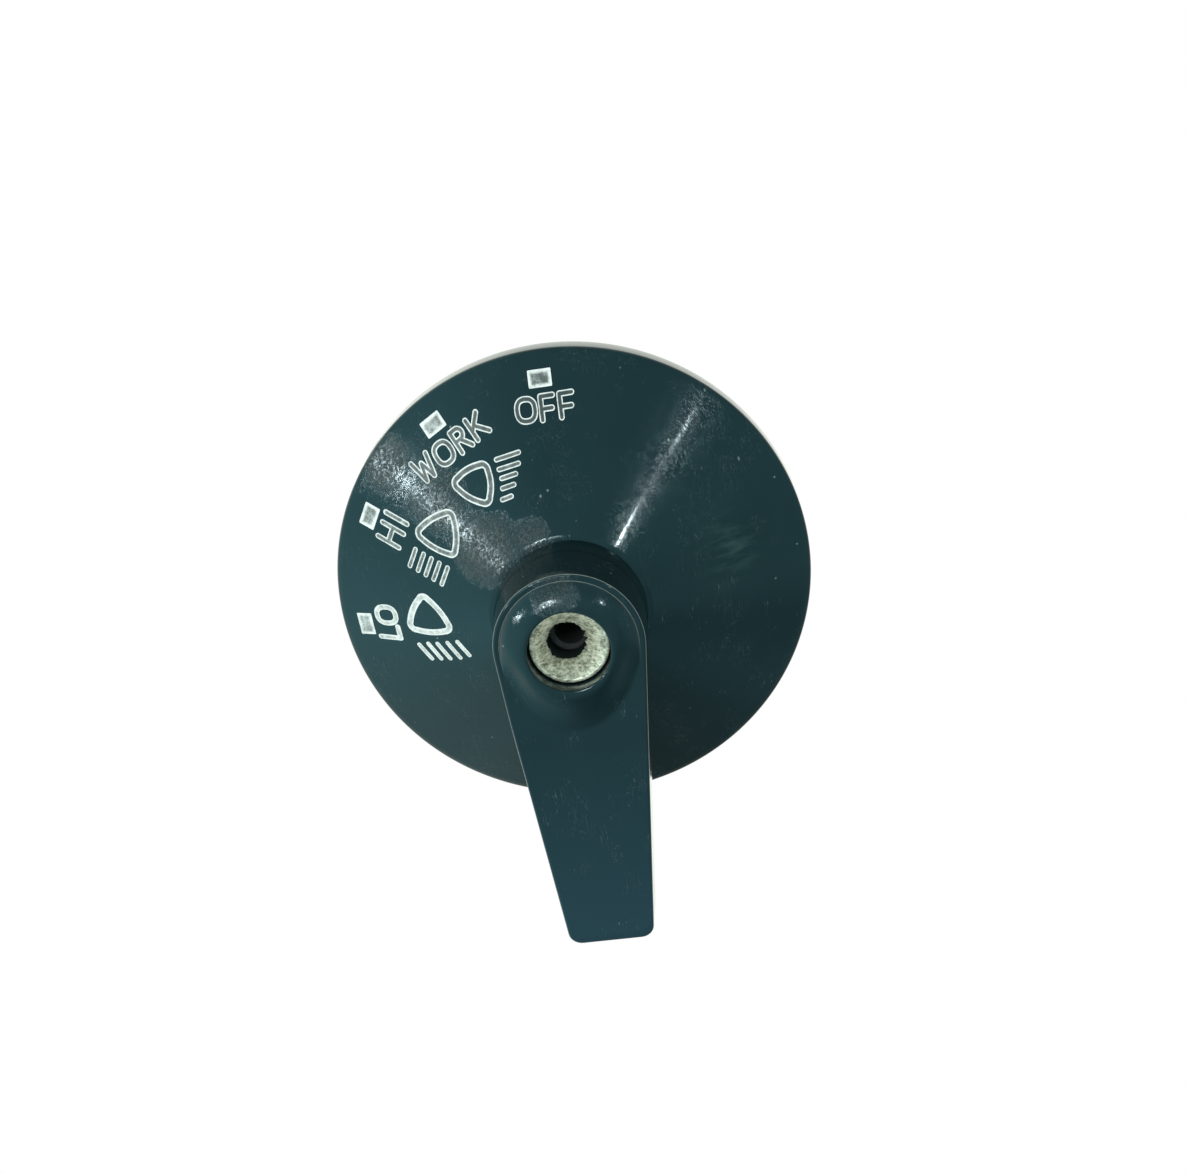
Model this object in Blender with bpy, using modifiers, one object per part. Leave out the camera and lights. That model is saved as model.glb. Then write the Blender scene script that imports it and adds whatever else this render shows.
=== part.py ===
"""A rotary light switch for a vehicle panel: dial, lever, shaft, detent and switch body.

Each piece is its own solid. The model is worked out in the switch's own frame, in millimetres: z runs along
the shaft towards the hand that turns it, y runs up the panel to the OFF mark, and z = 0 is the plane where the
dial meets the panel. The empty switch_axis turns that frame so that the panel stands upright: the dial faces -Y
and the OFF mark is up, +Z.
"""

import math

import bmesh
import bpy
from mathutils import Matrix, Vector

# ---------------------------------------------------------------- driving dimensions, millimetres and degrees
MM = 0.001
GAP = 0.3  # between pieces that touch
OVERLAP = 0.3  # how far joined shapes run into each other

PANEL_THICKNESS = 3.0
DETENT_STEP = 31.14  # from each marked position to the next
STEPS_TURNED = 3  # OFF to WORK to HI to LO

DIAL_R = 31.75
SKIRT_HEIGHT = 2.9
SKIRT_WALL = 2.0
CONE_SLOPE = 0.617
DIAL_WALL = 1.9
WELL_R = 8.9
WELL_WALL = 1.2
WELL_FLOOR = 2.2
RIB_THICKNESS = 1.2
RIB_ANGLES = (45, 135, 225, 315)
RIB_FOOT = 0.6
PIN_RADIUS = 13.4  # from the switch's axis to the locating pin
PIN_R = 1.2
PIN_TOP = 3.0
PIN_BOSS_R = 2.6

WASHER_LOW = WELL_FLOOR + GAP
WASHER_THICKNESS = 0.8
WASHER_TEETH = 12
WASHER_ROOT_R = 6.9
WASHER_TOOTH_R = 8.0
NUT_LOW = WASHER_LOW + WASHER_THICKNESS + GAP
NUT_HIGH = NUT_LOW + 2.4
NUT_CORNER_R = 7.3

BOSS_FOOT_R = 9.94
BOSS_TOP_R = 9.5
BOSS_TOP = 28.0
RECESS_R = 5.3
RECESS_RIM = 29.9
SPIGOT_R = 8.3
SPIGOT_END = 12.2
ARM_LENGTH = 44.1
ARM_TAPER = math.radians(5.2)
ARM_TIP_TOP = 22.9
ARM_ROOT_DEPTH = 8.0
ARM_TIP_DEPTH = 6.0
ARM_CORNER_R = 1.8
LEVER_WALL = 1.7
ARM_POCKETS = ((13.0, 19.0), (20.6, 26.6), (28.2, 34.2), (35.8, 41.8))  # their ends, from the axis
ARM_RIB_HALF = 0.7
POCKET_CUT_FOOT = 10.0  # lower than all of the arm

INSERT_R = RECESS_R - 0.28
INSERT_TOP = 27.5
INSERT_HOLE_R = 2.41
FUNNEL_R = 4.6
FUNNEL_FOOT = 24.9
INSERT_SEAT = 22.0  # underside of the insert's web, on the shaft's end

SHAFT_R = 3.175
SHAFT_TOP = INSERT_SEAT - GAP
SHAFT_END = -11.5
RUNNING_CLEARANCE = 0.06
FLAT_DEPTH = 0.8
TAP_R = 2.05
TAP_DEPTH = 9.0
TAP_TIP_R = 0.5

BUSHING_R = 4.76
BUSHING_TOP = 7.5
BUSHING_FLANGE_R = 6.5
SEAL_POCKET_R = 4.15
SEAL_SECTION_R = 0.33
SEAL_POCKET_DEPTH = 1.9
FLANGE_THICKNESS = 1.5
CLIP_LOW = BUSHING_TOP + 0.6
CLIP_HIGH = CLIP_LOW + 0.5
CLIP_OUTER_R = 4.6
CLIP_MOUTH_HALF = 35  # degrees
GROOVE_R = 2.55
THRUST_WASHER_THICKNESS = 0.5
THRUST_WASHER_R = 6.0

CAN_R = 18.0
CAN_WALL = 1.0
CAN_FRONT = -PANEL_THICKNESS
CAN_RIM = -18.7
TAB_ANGLES = (23, 143, 263)
TAB_WIDTH = 3.6
TAB_THICKNESS = 0.8
TAB_REACH = 2.6

BASE_TOP = -16.4
BASE_FLANGE_TOP = CAN_RIM - GAP
BASE_REAR = -22.4

WHEEL_TOP = -6.9
WHEEL_BOTTOM = -9.4
WHEEL_R = 12.4
WHEEL_CUTOUT_R = 9.4
NOTCH_DEPTH = 1.1
NOTCH_HALF_WIDTH = 1.6
DETENT_ANGLE = 90  # where the spring's nose presses on the wheel
STOP_ANGLE = 240
STOP_R = 11.0
STOP_PIN_R = 1.2
POST_X = 6.0
POST_Y = 13.9
POST_R = 0.75
LEAF_THICKNESS = 0.4

CARRIER_R = 13.0
CARRIER_BOTTOM = -13.7
SPRING_POCKET_R = 3.6
SPRING_WIRE_R = 0.22
SPRING_R = 2.4
SPRING_COILS = 3
BRIDGE_THICKNESS = 0.6
BRIDGE_TOP = CARRIER_BOTTOM - GAP
BRIDGE_BOTTOM = BRIDGE_TOP - BRIDGE_THICKNESS
BRIDGE_HALF_WIDTH = 2.0
DIMPLE_R = 1.3
DIMPLE_FOOT_R = 0.8
DIMPLE_DEPTH = 0.4

CONTACT_TOP = BRIDGE_BOTTOM - DIMPLE_DEPTH - GAP
CONTACT_RING_R = 10.0
CONTACT_HEAD_R = 1.8
HEAD_THICKNESS = 0.8
RIVET_R = 1.0
RIVET_TAIL = 0.7
TRACK_HALF_WIDTH = 1.6
TRACK_RUN_PAST = 7  # degrees beyond the first and last positions
REST_ANGLE = 270  # the lever and the bridge's outer end point down the panel at OFF
SUPPLY_TERMINAL_ANGLE = 225.0
TERMINAL_ANGLES = {
    "supply": SUPPLY_TERMINAL_ANGLE,
    "work": REST_ANGLE + DETENT_STEP,
    "high": REST_ANGLE + 2 * DETENT_STEP,
    "low": REST_ANGLE + 3 * DETENT_STEP,
    "tail": 165.0,
}
PLATE_TOP = BASE_REAR - GAP
PLATE_THICKNESS = 0.8
PLATE_REAR = PLATE_TOP - PLATE_THICKNESS
TERMINAL_SCREW_R = 14.3
SCREW_THREAD_R = 1.45
SCREW_HEAD_R = 2.5
SCREW_HEAD_TOP = PLATE_REAR - GAP
SCREW_HEAD_HEIGHT = 1.9
SCREW_TIP = BASE_REAR + 3.2
SLOT_HALF_WIDTH = 0.35
SLOT_DEPTH = 0.9
SLOT_TURN = 115  # degrees from the terminal's own line

LARGE_ROUND = 64  # sides of the dial and the lever's boss
ROUND = 48  # of the other turned shapes
MEDIUM_ROUND = 32
SMALL_ROUND = 16
EXTRA = 1.0  # how far a cutter runs past what it cuts


# ---------------------------------------------------------------- scene, collections, materials
def clear_scene():
    for obj in list(bpy.data.objects):
        bpy.data.objects.remove(obj, do_unlink=True)
    for collection in list(bpy.data.collections):
        bpy.data.collections.remove(collection)


def new_collection(name):
    collection = bpy.data.collections.new(name)
    bpy.context.scene.collection.children.link(collection)
    return collection


def new_axis(name, parent=None):
    axis = bpy.data.objects.new(name, None)
    axis.empty_display_size = 10 * MM
    axis.parent = parent
    parts.objects.link(axis)
    return axis


def new_material(name, color, roughness, metallic=0.0):
    material = bpy.data.materials.new(name)
    material.use_nodes = True
    shader = material.node_tree.nodes["Principled BSDF"]
    shader.inputs["Base Color"].default_value = (*color, 1.0)
    shader.inputs["Roughness"].default_value = roughness
    shader.inputs["Metallic"].default_value = metallic
    material.diffuse_color = (*color, 1.0)
    return material


# ---------------------------------------------------------------- shapes, all given in millimetres
def add_object(name, mesh, collection, parent):
    obj = bpy.data.objects.new(name, mesh)
    obj.parent = parent
    collection.objects.link(obj)
    return obj


def mesh_from_bmesh(name, bm):
    bmesh.ops.recalc_face_normals(bm, faces=bm.faces)
    mesh = bpy.data.meshes.new(name)
    bm.to_mesh(mesh)
    bm.free()
    return mesh


def screw_mesh(name, profile, sides):
    """A closed (radius, z) profile that runs down its outer side, turned once round z."""
    mesh = bpy.data.meshes.new(name)
    count = len(profile)
    points = [(r * MM, 0, z * MM) for r, z in profile]
    mesh.from_pydata(points, [(i, (i + 1) % count) for i in range(count)], [])
    holder = bpy.data.objects.new(name + "_profile", mesh)
    bpy.context.scene.collection.objects.link(holder)
    screw = holder.modifiers.new("Turn", "SCREW")
    screw.angle = math.tau
    screw.steps = sides
    screw.render_steps = sides
    screw.use_merge_vertices = True
    screw.merge_threshold = 1e-6
    graph = bpy.context.evaluated_depsgraph_get()
    turned_mesh = bpy.data.meshes.new_from_object(holder.evaluated_get(graph))
    turned_mesh.name = name
    bpy.data.objects.remove(holder)
    bm = bmesh.new()
    bm.from_mesh(turned_mesh)
    bmesh.ops.remove_doubles(bm, verts=bm.verts, dist=1e-6)
    bmesh.ops.recalc_face_normals(bm, faces=bm.faces)
    bm.to_mesh(turned_mesh)
    bm.free()
    return turned_mesh


def turned(name, profile, collection, parent, sides=ROUND):
    return add_object(name, screw_mesh(name, profile, sides), collection, parent)


def rod(name, radius, low, high, collection, parent, centre=(0, 0), sides=SMALL_ROUND):
    bm = bmesh.new()
    place = Matrix.Translation(Vector((*centre, (low + high) / 2)) * MM)
    radius, depth = radius * MM, (high - low) * MM
    bmesh.ops.create_cone(
        bm, cap_ends=True, segments=sides, radius1=radius, radius2=radius, depth=depth, matrix=place
    )
    return add_object(name, mesh_from_bmesh(name, bm), collection, parent)


def box(name, low, high, collection, parent, turn=0.0):
    """A box between two corners, turned about z by so many degrees."""
    low, high = Vector(low) * MM, Vector(high) * MM
    size = Matrix.Diagonal((*(high - low), 1))
    place = Matrix.Rotation(math.radians(turn), 4, "Z") @ Matrix.Translation((low + high) / 2) @ size
    bm = bmesh.new()
    bmesh.ops.create_cube(bm, size=1.0, matrix=place)
    return add_object(name, mesh_from_bmesh(name, bm), collection, parent)


def slab(name, outline, low, high, collection, parent):
    """A flat outline of (x, y) points between two heights. A height may be a number or a function of (x, y)."""
    bm = bmesh.new()
    levels = []
    for level in (low, high):
        heights = [level(x, y) if callable(level) else level for x, y in outline]
        levels.append([bm.verts.new(Vector((x, y, z)) * MM) for (x, y), z in zip(outline, heights)])
    for level in levels:
        bm.faces.new(level)
    for i in range(len(outline)):
        j = (i + 1) % len(outline)
        bm.faces.new((levels[0][i], levels[0][j], levels[1][j], levels[1][i]))
    return add_object(name, mesh_from_bmesh(name, bm), collection, parent)


def arc(centre, radius, start, end, count):
    """Points on an arc in degrees, both ends included."""
    turns = [math.radians(start + (end - start) * i / count) for i in range(count + 1)]
    return [(centre[0] + radius * math.cos(t), centre[1] + radius * math.sin(t)) for t in turns]


def polar(radius, degrees):
    return radius * math.cos(math.radians(degrees)), radius * math.sin(math.radians(degrees))


def combine(obj, other, operation):
    modifier = obj.modifiers.new(operation.title(), "BOOLEAN")
    modifier.operation = operation
    modifier.solver = "EXACT"
    modifier.object = other
    other.hide_render = True
    other.display_type = "WIRE"


def cut(obj, *others):
    for other in others:
        combine(obj, other, "DIFFERENCE")


def join(obj, *others):
    for other in others:
        combine(obj, other, "UNION")


def finish(obj, material):
    obj.data.materials.clear()
    obj.data.materials.append(material)
    obj.data.shade_smooth()
    obj.data.set_sharp_from_angle(angle=math.radians(35))
    return obj


# ---------------------------------------------------------------- dial and what clamps it
def cone_height(radius):
    return SKIRT_HEIGHT + (DIAL_R - radius) * CONE_SLOPE


def dial_plate():
    drop = DIAL_WALL * math.hypot(1, CONE_SLOPE)
    well_outer = WELL_R + WELL_WALL
    skirt_inner = DIAL_R - SKIRT_WALL
    profile = [
        (well_outer, cone_height(well_outer)),
        (DIAL_R - 0.4, cone_height(DIAL_R - 0.4)),
        (DIAL_R, SKIRT_HEIGHT - 0.2),
        (DIAL_R, 0.2),
        (DIAL_R - 0.2, 0),
        (skirt_inner, 0),
        (skirt_inner, cone_height(skirt_inner) - drop),
        (well_outer, cone_height(well_outer) - drop),
        (well_outer, 0),
        (BUSHING_R + GAP, 0),
        (BUSHING_R + GAP, WELL_FLOOR),
        (WELL_R, WELL_FLOOR),
        (WELL_R, cone_height(well_outer)),
    ]
    dial = turned("dial_plate", profile, parts, switch_axis, sides=LARGE_ROUND)
    for i, angle in enumerate(RIB_ANGLES):
        join(dial, dial_rib(f"rib_{i}", angle, well_outer - OVERLAP, skirt_inner + OVERLAP, drop))
    boss_top = cone_height(PIN_RADIUS) - drop + OVERLAP
    join(dial, rod("pin_boss", PIN_BOSS_R, 0, boss_top, cutters, switch_axis, (0, PIN_RADIUS)))
    cut(dial, rod("pin_hole", PIN_R + GAP, -EXTRA, PIN_TOP + EXTRA, cutters, switch_axis, (0, PIN_RADIUS)))
    return finish(dial, dial_black)


def dial_rib(name, angle, inner, outer, drop):
    """An upright rib under the cone, from the well to the skirt, whose top edge runs inside the cone's wall."""
    half = RIB_THICKNESS / 2
    turn = Matrix.Rotation(math.radians(angle), 3, "Z")
    corners = [(inner, -half), (outer, -half), (outer, half), (inner, half)]
    outline = [tuple((turn @ Vector((x, y, 0)))[:2]) for x, y in corners]

    def top(x, y):
        return cone_height(math.hypot(x, y)) - drop / 2

    return slab(name, outline, RIB_FOOT, top, cutters, switch_axis)


def locating_pin():
    low = CAN_FRONT - CAN_WALL + GAP
    return finish(rod("locating_pin", PIN_R, low, PIN_TOP, parts, switch_axis, (0, PIN_RADIUS)), zinc)


def lock_washer():
    """A flat ring with teeth turned out round its edge."""
    low = WASHER_LOW
    high = low + WASHER_THICKNESS
    tooth = ((0.0, WASHER_ROOT_R), (0.5, WASHER_ROOT_R), (0.55, WASHER_TOOTH_R), (0.95, WASHER_TOOTH_R))
    outline = []
    for i in range(WASHER_TEETH):
        for share, radius in tooth:
            outline.append(polar(radius, (i + share) * 360 / WASHER_TEETH))
    washer = slab("lock_washer", outline, low, high, parts, switch_axis)
    hole_r = BUSHING_R + GAP
    cut(washer, rod("washer_hole", hole_r, low - EXTRA, high + EXTRA, cutters, switch_axis, sides=ROUND))
    return finish(washer, steel)


def panel_nut():
    """A hexagon, its corners turned down by a coned ring."""
    nut = slab("panel_nut", arc((0, 0), NUT_CORNER_R, 0, 300, 5), NUT_LOW, NUT_HIGH, parts, switch_axis)
    chamfer = [
        (NUT_CORNER_R + EXTRA, NUT_HIGH + EXTRA),
        (NUT_CORNER_R + EXTRA, NUT_HIGH - 0.5),
        (NUT_CORNER_R, NUT_HIGH - 0.5),
        (NUT_CORNER_R - 1.1, NUT_HIGH + 0.1),
        (NUT_CORNER_R - 1.1, NUT_HIGH + EXTRA),
    ]
    cut(nut, turned("nut_chamfer", chamfer, cutters, switch_axis, sides=ROUND))
    low, high = NUT_LOW - EXTRA, NUT_HIGH + EXTRA
    cut(nut, rod("nut_hole", BUSHING_R + GAP, low, high, cutters, switch_axis, sides=ROUND))
    return finish(nut, zinc)


# ---------------------------------------------------------------- shaft, bushing and seal
def threaded_bushing():
    bore = SHAFT_R + RUNNING_CLEARANCE
    flange_top = CAN_FRONT - CAN_WALL - GAP
    flange_bottom = flange_top - FLANGE_THICKNESS
    pocket_floor = BUSHING_TOP - SEAL_POCKET_DEPTH
    profile = [
        (BUSHING_R - 0.4, BUSHING_TOP),
        (BUSHING_R, BUSHING_TOP - 0.4),
        (BUSHING_R, flange_top),
        (BUSHING_FLANGE_R, flange_top),
        (BUSHING_FLANGE_R, flange_bottom),
        (bore, flange_bottom),
        (bore, pocket_floor),
        (SEAL_POCKET_R, pocket_floor),
        (SEAL_POCKET_R, BUSHING_TOP),
    ]
    return finish(turned("threaded_bushing", profile, parts, switch_axis, sides=ROUND), brass)


def shaft_seal():
    centre_r = (SHAFT_R + SEAL_POCKET_R) / 2
    centre_z = BUSHING_TOP - 0.9
    section = arc((centre_r, centre_z), SEAL_SECTION_R, 90, -210, 5)
    return finish(turned("shaft_seal", section, parts, switch_axis, sides=MEDIUM_ROUND), rubber)


def shaft():
    """The spindle: a flat at each end, a clip groove, and a tapped hole in the end under the lever."""
    profile = [
        (SHAFT_R - 0.4, SHAFT_TOP),
        (SHAFT_R, SHAFT_TOP - 0.4),
        (SHAFT_R, CLIP_HIGH + GAP),
        (GROOVE_R, CLIP_HIGH + GAP),
        (GROOVE_R, CLIP_LOW - GAP),
        (SHAFT_R, CLIP_LOW - GAP),
        (SHAFT_R, SHAFT_END + 0.3),
        (SHAFT_R - 0.3, SHAFT_END),
        (TAP_TIP_R, SHAFT_END),
        (TAP_TIP_R, SHAFT_TOP - TAP_DEPTH),
        (TAP_R, SHAFT_TOP - TAP_DEPTH + 0.8),
        (TAP_R, SHAFT_TOP),
    ]
    spindle = turned("shaft", profile, parts, lever_axis, sides=MEDIUM_ROUND)
    core_top = SHAFT_TOP - TAP_DEPTH - OVERLAP
    join(spindle, rod("shaft_core", TAP_TIP_R + OVERLAP, SHAFT_END + 0.05, core_top, cutters, lever_axis))
    upper = ("upper_flat", SPIGOT_END - 0.5, SHAFT_TOP + EXTRA)
    lower = ("lower_flat", SHAFT_END - EXTRA, WHEEL_TOP + GAP)
    for name, low, high in (upper, lower):
        near = (-SHAFT_R - EXTRA, SHAFT_R - FLAT_DEPTH, low)
        far = (SHAFT_R + EXTRA, SHAFT_R + EXTRA, high)
        cut(spindle, box(name, near, far, cutters, lever_axis))
    return finish(spindle, steel)


def d_cutter(name, low, high):
    """The space a flatted shaft needs: a cylinder without its far segment."""
    radius = SHAFT_R + 0.1
    hole = rod(name, radius, low, high, cutters, lever_axis, sides=MEDIUM_ROUND)
    near = (-radius - EXTRA, SHAFT_R - FLAT_DEPTH + 0.1, low - EXTRA)
    far = (radius + EXTRA, radius + EXTRA, high + EXTRA)
    cut(hole, box(name + "_flat", near, far, cutters, lever_axis))
    return hole


def shaft_clip():
    """An open ring that snaps into the shaft's groove above the bushing."""
    first, last = CLIP_MOUTH_HALF - 90, 270 - CLIP_MOUTH_HALF
    outline = arc((0, 0), CLIP_OUTER_R, first, last, 22)
    outline += arc((0, 0), GROOVE_R + 0.15, last, first, 22)
    return finish(slab("shaft_clip", outline, CLIP_LOW, CLIP_HIGH, parts, lever_axis), steel)


def thrust_washer():
    high = CAN_FRONT - CAN_WALL - GAP - FLANGE_THICKNESS - GAP
    low = high - THRUST_WASHER_THICKNESS
    inner = SHAFT_R + GAP
    profile = [(THRUST_WASHER_R, high), (THRUST_WASHER_R, low), (inner, low), (inner, high)]
    return finish(turned("thrust_washer", profile, parts, switch_axis, sides=MEDIUM_ROUND), brass)


# ---------------------------------------------------------------- lever
def arm_half_width(distance):
    return (BOSS_TOP_R - 0.02 - distance * math.sin(ARM_TAPER)) / math.cos(ARM_TAPER)


def arm_top(distance):
    share = max(0.0, distance - BOSS_TOP_R) / (ARM_LENGTH - BOSS_TOP_R)
    return BOSS_TOP + (ARM_TIP_TOP - BOSS_TOP) * share


def arm_bottom(distance):
    share = max(0.0, distance - BOSS_TOP_R) / (ARM_LENGTH - BOSS_TOP_R)
    return arm_top(distance) - ARM_ROOT_DEPTH + (ARM_ROOT_DEPTH - ARM_TIP_DEPTH) * share


def arm_outline(near, far):
    """The arm in plan between two distances from the axis: straight sides, and round corners if far is the tip."""
    sides = [(arm_half_width(near), -near)]
    if far < ARM_LENGTH:
        sides.append((arm_half_width(far), -far))
    else:
        middle = far - ARM_CORNER_R
        corner_x = (BOSS_TOP_R - 0.02 - ARM_CORNER_R - middle * math.sin(ARM_TAPER)) / math.cos(ARM_TAPER)
        sides += arc((corner_x, -middle), ARM_CORNER_R, -math.degrees(ARM_TAPER), -90, 5)
    return sides + [(-x, y) for x, y in reversed(sides)]


def arm():
    """The handle: a level root that meets the boss, and a bar that narrows and drops towards its tip."""
    root_outline = arm_outline(1.2, BOSS_TOP_R + OVERLAP)
    root = slab("arm_root", root_outline, arm_bottom(0), arm_top(0), cutters, lever_axis)
    bar = slab(
        "arm_bar",
        arm_outline(BOSS_TOP_R, ARM_LENGTH),
        lambda x, y: arm_bottom(-y),
        lambda x, y: arm_top(-y),
        cutters,
        lever_axis,
    )
    return root, bar


def lever():
    """The boss, turned, with its domed top, joined to the arm and bored for the insert."""
    seat = cone_height(WELL_R + WELL_WALL) + 0.35
    profile = [
        (0, RECESS_RIM),
        (RECESS_R + 0.5, RECESS_RIM),
        (7.2, RECESS_RIM - 0.5),
        (8.5, RECESS_RIM - 1.2),
        (BOSS_TOP_R - 0.15, BOSS_TOP - 0.05),
        (BOSS_TOP_R, BOSS_TOP - 0.5),
        (BOSS_FOOT_R, seat + 0.2),
        (BOSS_FOOT_R - 0.2, seat),
        (SPIGOT_R, seat),
        (SPIGOT_R, SPIGOT_END + 0.4),
        (SPIGOT_R - 0.4, SPIGOT_END),
        (0, SPIGOT_END),
    ]
    handle = turned("lever", profile, parts, lever_axis, sides=LARGE_ROUND)
    join(handle, *arm())
    low, high = SPIGOT_END - EXTRA, RECESS_RIM + EXTRA
    cut(handle, rod("insert_bore", RECESS_R, low, high, cutters, lever_axis, sides=ROUND))
    for i, (low, high) in enumerate(ARM_POCKETS):
        for name, side in ((f"arm_pocket_{i}", 1), (f"arm_pocket_{i}b", -1)):
            cut(handle, arm_pocket(name, low, high, side))
    return finish(handle, lever_black)


def arm_pocket(name, near, far, side):
    """One cored pocket in the arm's underside, between its wall, its middle rib and the cross ribs."""
    outline = [
        (side * ARM_RIB_HALF, -near),
        (side * (arm_half_width(near) - LEVER_WALL), -near),
        (side * (arm_half_width(far) - LEVER_WALL), -far),
        (side * ARM_RIB_HALF, -far),
    ]

    def roof(x, y):
        return arm_top(-y) - LEVER_WALL

    return slab(name, outline, POCKET_CUT_FOOT, roof, cutters, lever_axis)


def lever_insert():
    """The metal hub moulded into the lever: it drives the shaft's flat, and its funnel takes the screw's head."""
    foot = SPIGOT_END + 0.5
    profile = [
        (FUNNEL_R, INSERT_TOP),
        (INSERT_R - 0.1, INSERT_TOP),
        (INSERT_R, INSERT_TOP - 0.1),
        (INSERT_R, foot + 0.3),
        (INSERT_R - 0.3, foot),
        (INSERT_HOLE_R, foot),
        (INSERT_HOLE_R, FUNNEL_FOOT),
    ]
    hub = turned("lever_insert", profile, parts, lever_axis, sides=ROUND)
    cut(hub, d_cutter("insert_d_bore", foot - EXTRA, INSERT_SEAT))
    return finish(hub, hub_metal)


# ---------------------------------------------------------------- detent
def star_wheel():
    """The stop and detent wheel: four notches round its rim, and a low stretch whose ends meet the stop pin."""
    stop_margin = math.degrees(math.asin((STOP_PIN_R + GAP) / STOP_R))
    travel = DETENT_STEP * STEPS_TURNED
    low_start = STOP_ANGLE - travel - stop_margin
    low_end = STOP_ANGLE + stop_margin
    outline = arc((0, 0), WHEEL_CUTOUT_R, low_start, low_end, 20)
    outline += arc((0, 0), WHEEL_R, low_end, low_start + 360, 40)
    wheel = slab("star_wheel", outline, WHEEL_BOTTOM, WHEEL_TOP, parts, lever_axis)
    for i in range(STEPS_TURNED + 1):
        angle = DETENT_ANGLE - i * DETENT_STEP
        turn = Matrix.Rotation(math.radians(angle), 3, "Z")
        reach = WHEEL_R + EXTRA
        spread = NOTCH_HALF_WIDTH * (NOTCH_DEPTH + EXTRA) / NOTCH_DEPTH
        corners = [(WHEEL_R - NOTCH_DEPTH, 0), (reach, -spread), (reach, spread)]
        notch = [tuple((turn @ Vector((x, y, 0)))[:2]) for x, y in corners]
        cut(wheel, slab(f"notch_{i}", notch, WHEEL_BOTTOM - EXTRA, WHEEL_TOP + EXTRA, cutters, lever_axis))
    cut(wheel, d_cutter("wheel_d_bore", WHEEL_BOTTOM - EXTRA, WHEEL_TOP + EXTRA))
    return finish(wheel, steel)


def detent_spring():
    """A leaf spring: an eye round each post, straight arms, and a V nose in the wheel's notch."""
    nose_y = WHEEL_R - NOTCH_DEPTH + GAP + 0.25
    eye_r = POST_R + 0.3 + LEAF_THICKNESS / 2
    shoulder_y = nose_y + 1.5
    left = [(0, nose_y), (-1.5, shoulder_y), (-POST_X + eye_r, POST_Y)]
    left += arc((-POST_X, POST_Y), eye_r, 20, 290, 12)
    path = [(-x, y) for x, y in reversed(left)] + left[1:]
    leaf_mesh = bpy.data.meshes.new("detent_spring")
    low, high = WHEEL_BOTTOM + 0.2, WHEEL_TOP - 0.2
    count = len(path)
    points = [(x * MM, y * MM, low * MM) for x, y in path] + [(x * MM, y * MM, high * MM) for x, y in path]
    faces = [(i, i + 1, count + i + 1, count + i) for i in range(count - 1)]
    leaf_mesh.from_pydata(points, [], faces)
    leaf = add_object("detent_spring", leaf_mesh, parts, switch_axis)
    solidify = leaf.modifiers.new("Thickness", "SOLIDIFY")
    solidify.thickness = LEAF_THICKNESS * MM
    solidify.offset = 0
    solidify.use_even_offset = True
    return finish(leaf, steel)


def spring_post(name, x):
    low, high = WHEEL_BOTTOM - 0.3, CAN_FRONT - CAN_WALL - GAP
    return finish(rod(name, POST_R, low, high, parts, switch_axis, (x, POST_Y)), steel)


def stop_pin():
    low, high = WHEEL_BOTTOM - 0.1, CAN_FRONT - CAN_WALL - GAP
    place = polar(STOP_R, STOP_ANGLE)
    return finish(rod("stop_pin", STOP_PIN_R, low, high, parts, switch_axis, place), steel)


# ---------------------------------------------------------------- contacts
def contact_carrier():
    """The insulating carrier on the shaft's lower flat, with a pocket for the spring under the shaft's end."""
    low, high = CARRIER_BOTTOM, WHEEL_BOTTOM - GAP
    bore = SHAFT_R - 1.2  # opened to the shaft's own section by the D cutter
    profile = [
        (CARRIER_R - 0.3, high),
        (CARRIER_R, high - 0.3),
        (CARRIER_R, low + 0.3),
        (CARRIER_R - 0.3, low),
        (SPRING_POCKET_R, low),
        (SPRING_POCKET_R, SHAFT_END),
        (bore, SHAFT_END),
        (bore, high),
    ]
    carrier = turned("contact_carrier", profile, parts, lever_axis, sides=ROUND)
    cut(carrier, d_cutter("carrier_d_bore", SHAFT_END - 0.1, high + EXTRA))
    return finish(carrier, nylon)


def contact_spring():
    """A short compression spring that presses the bridge on the contacts."""
    low, high = BRIDGE_TOP + GAP + SPRING_WIRE_R, SHAFT_END - GAP - SPRING_WIRE_R
    per_turn = 14
    count = SPRING_COILS * per_turn
    curve = bpy.data.curves.new("contact_spring", "CURVE")
    curve.dimensions = "3D"
    curve.bevel_depth = SPRING_WIRE_R * MM
    curve.bevel_resolution = 1
    curve.use_fill_caps = True
    spline = curve.splines.new("POLY")
    spline.points.add(count)
    for i, point in enumerate(spline.points):
        turn = math.tau * i / per_turn
        height = low + (high - low) * i / count
        point.co = (SPRING_R * math.cos(turn) * MM, SPRING_R * math.sin(turn) * MM, height * MM, 1)
    coil = bpy.data.objects.new("contact_spring", curve)
    coil.parent = lever_axis
    parts.objects.link(coil)
    curve.materials.append(steel)
    return coil


def contact_bridge():
    """The moving contact: a strip from the supply contact to the lamp contacts, with a dimple over each."""
    half = BRIDGE_HALF_WIDTH
    outline = arc((0, -CONTACT_RING_R), half, 180, 360, 10) + arc((0, CONTACT_RING_R), half, 0, 180, 10)
    root, foot = BRIDGE_BOTTOM + OVERLAP, BRIDGE_BOTTOM - DIMPLE_DEPTH
    strip = slab("contact_bridge", outline, BRIDGE_BOTTOM, BRIDGE_TOP, parts, lever_axis)
    for i, y in enumerate((-CONTACT_RING_R, 0.0, CONTACT_RING_R)):
        profile = [(DIMPLE_R, root), (DIMPLE_R, BRIDGE_BOTTOM), (DIMPLE_FOOT_R, foot), (0, foot), (0, root)]
        dimple = turned(f"dimple_{i}", profile, cutters, lever_axis, sides=SMALL_ROUND)
        dimple.location = (0, y * MM, 0)
        join(strip, dimple)
    return finish(strip, brass)


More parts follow.
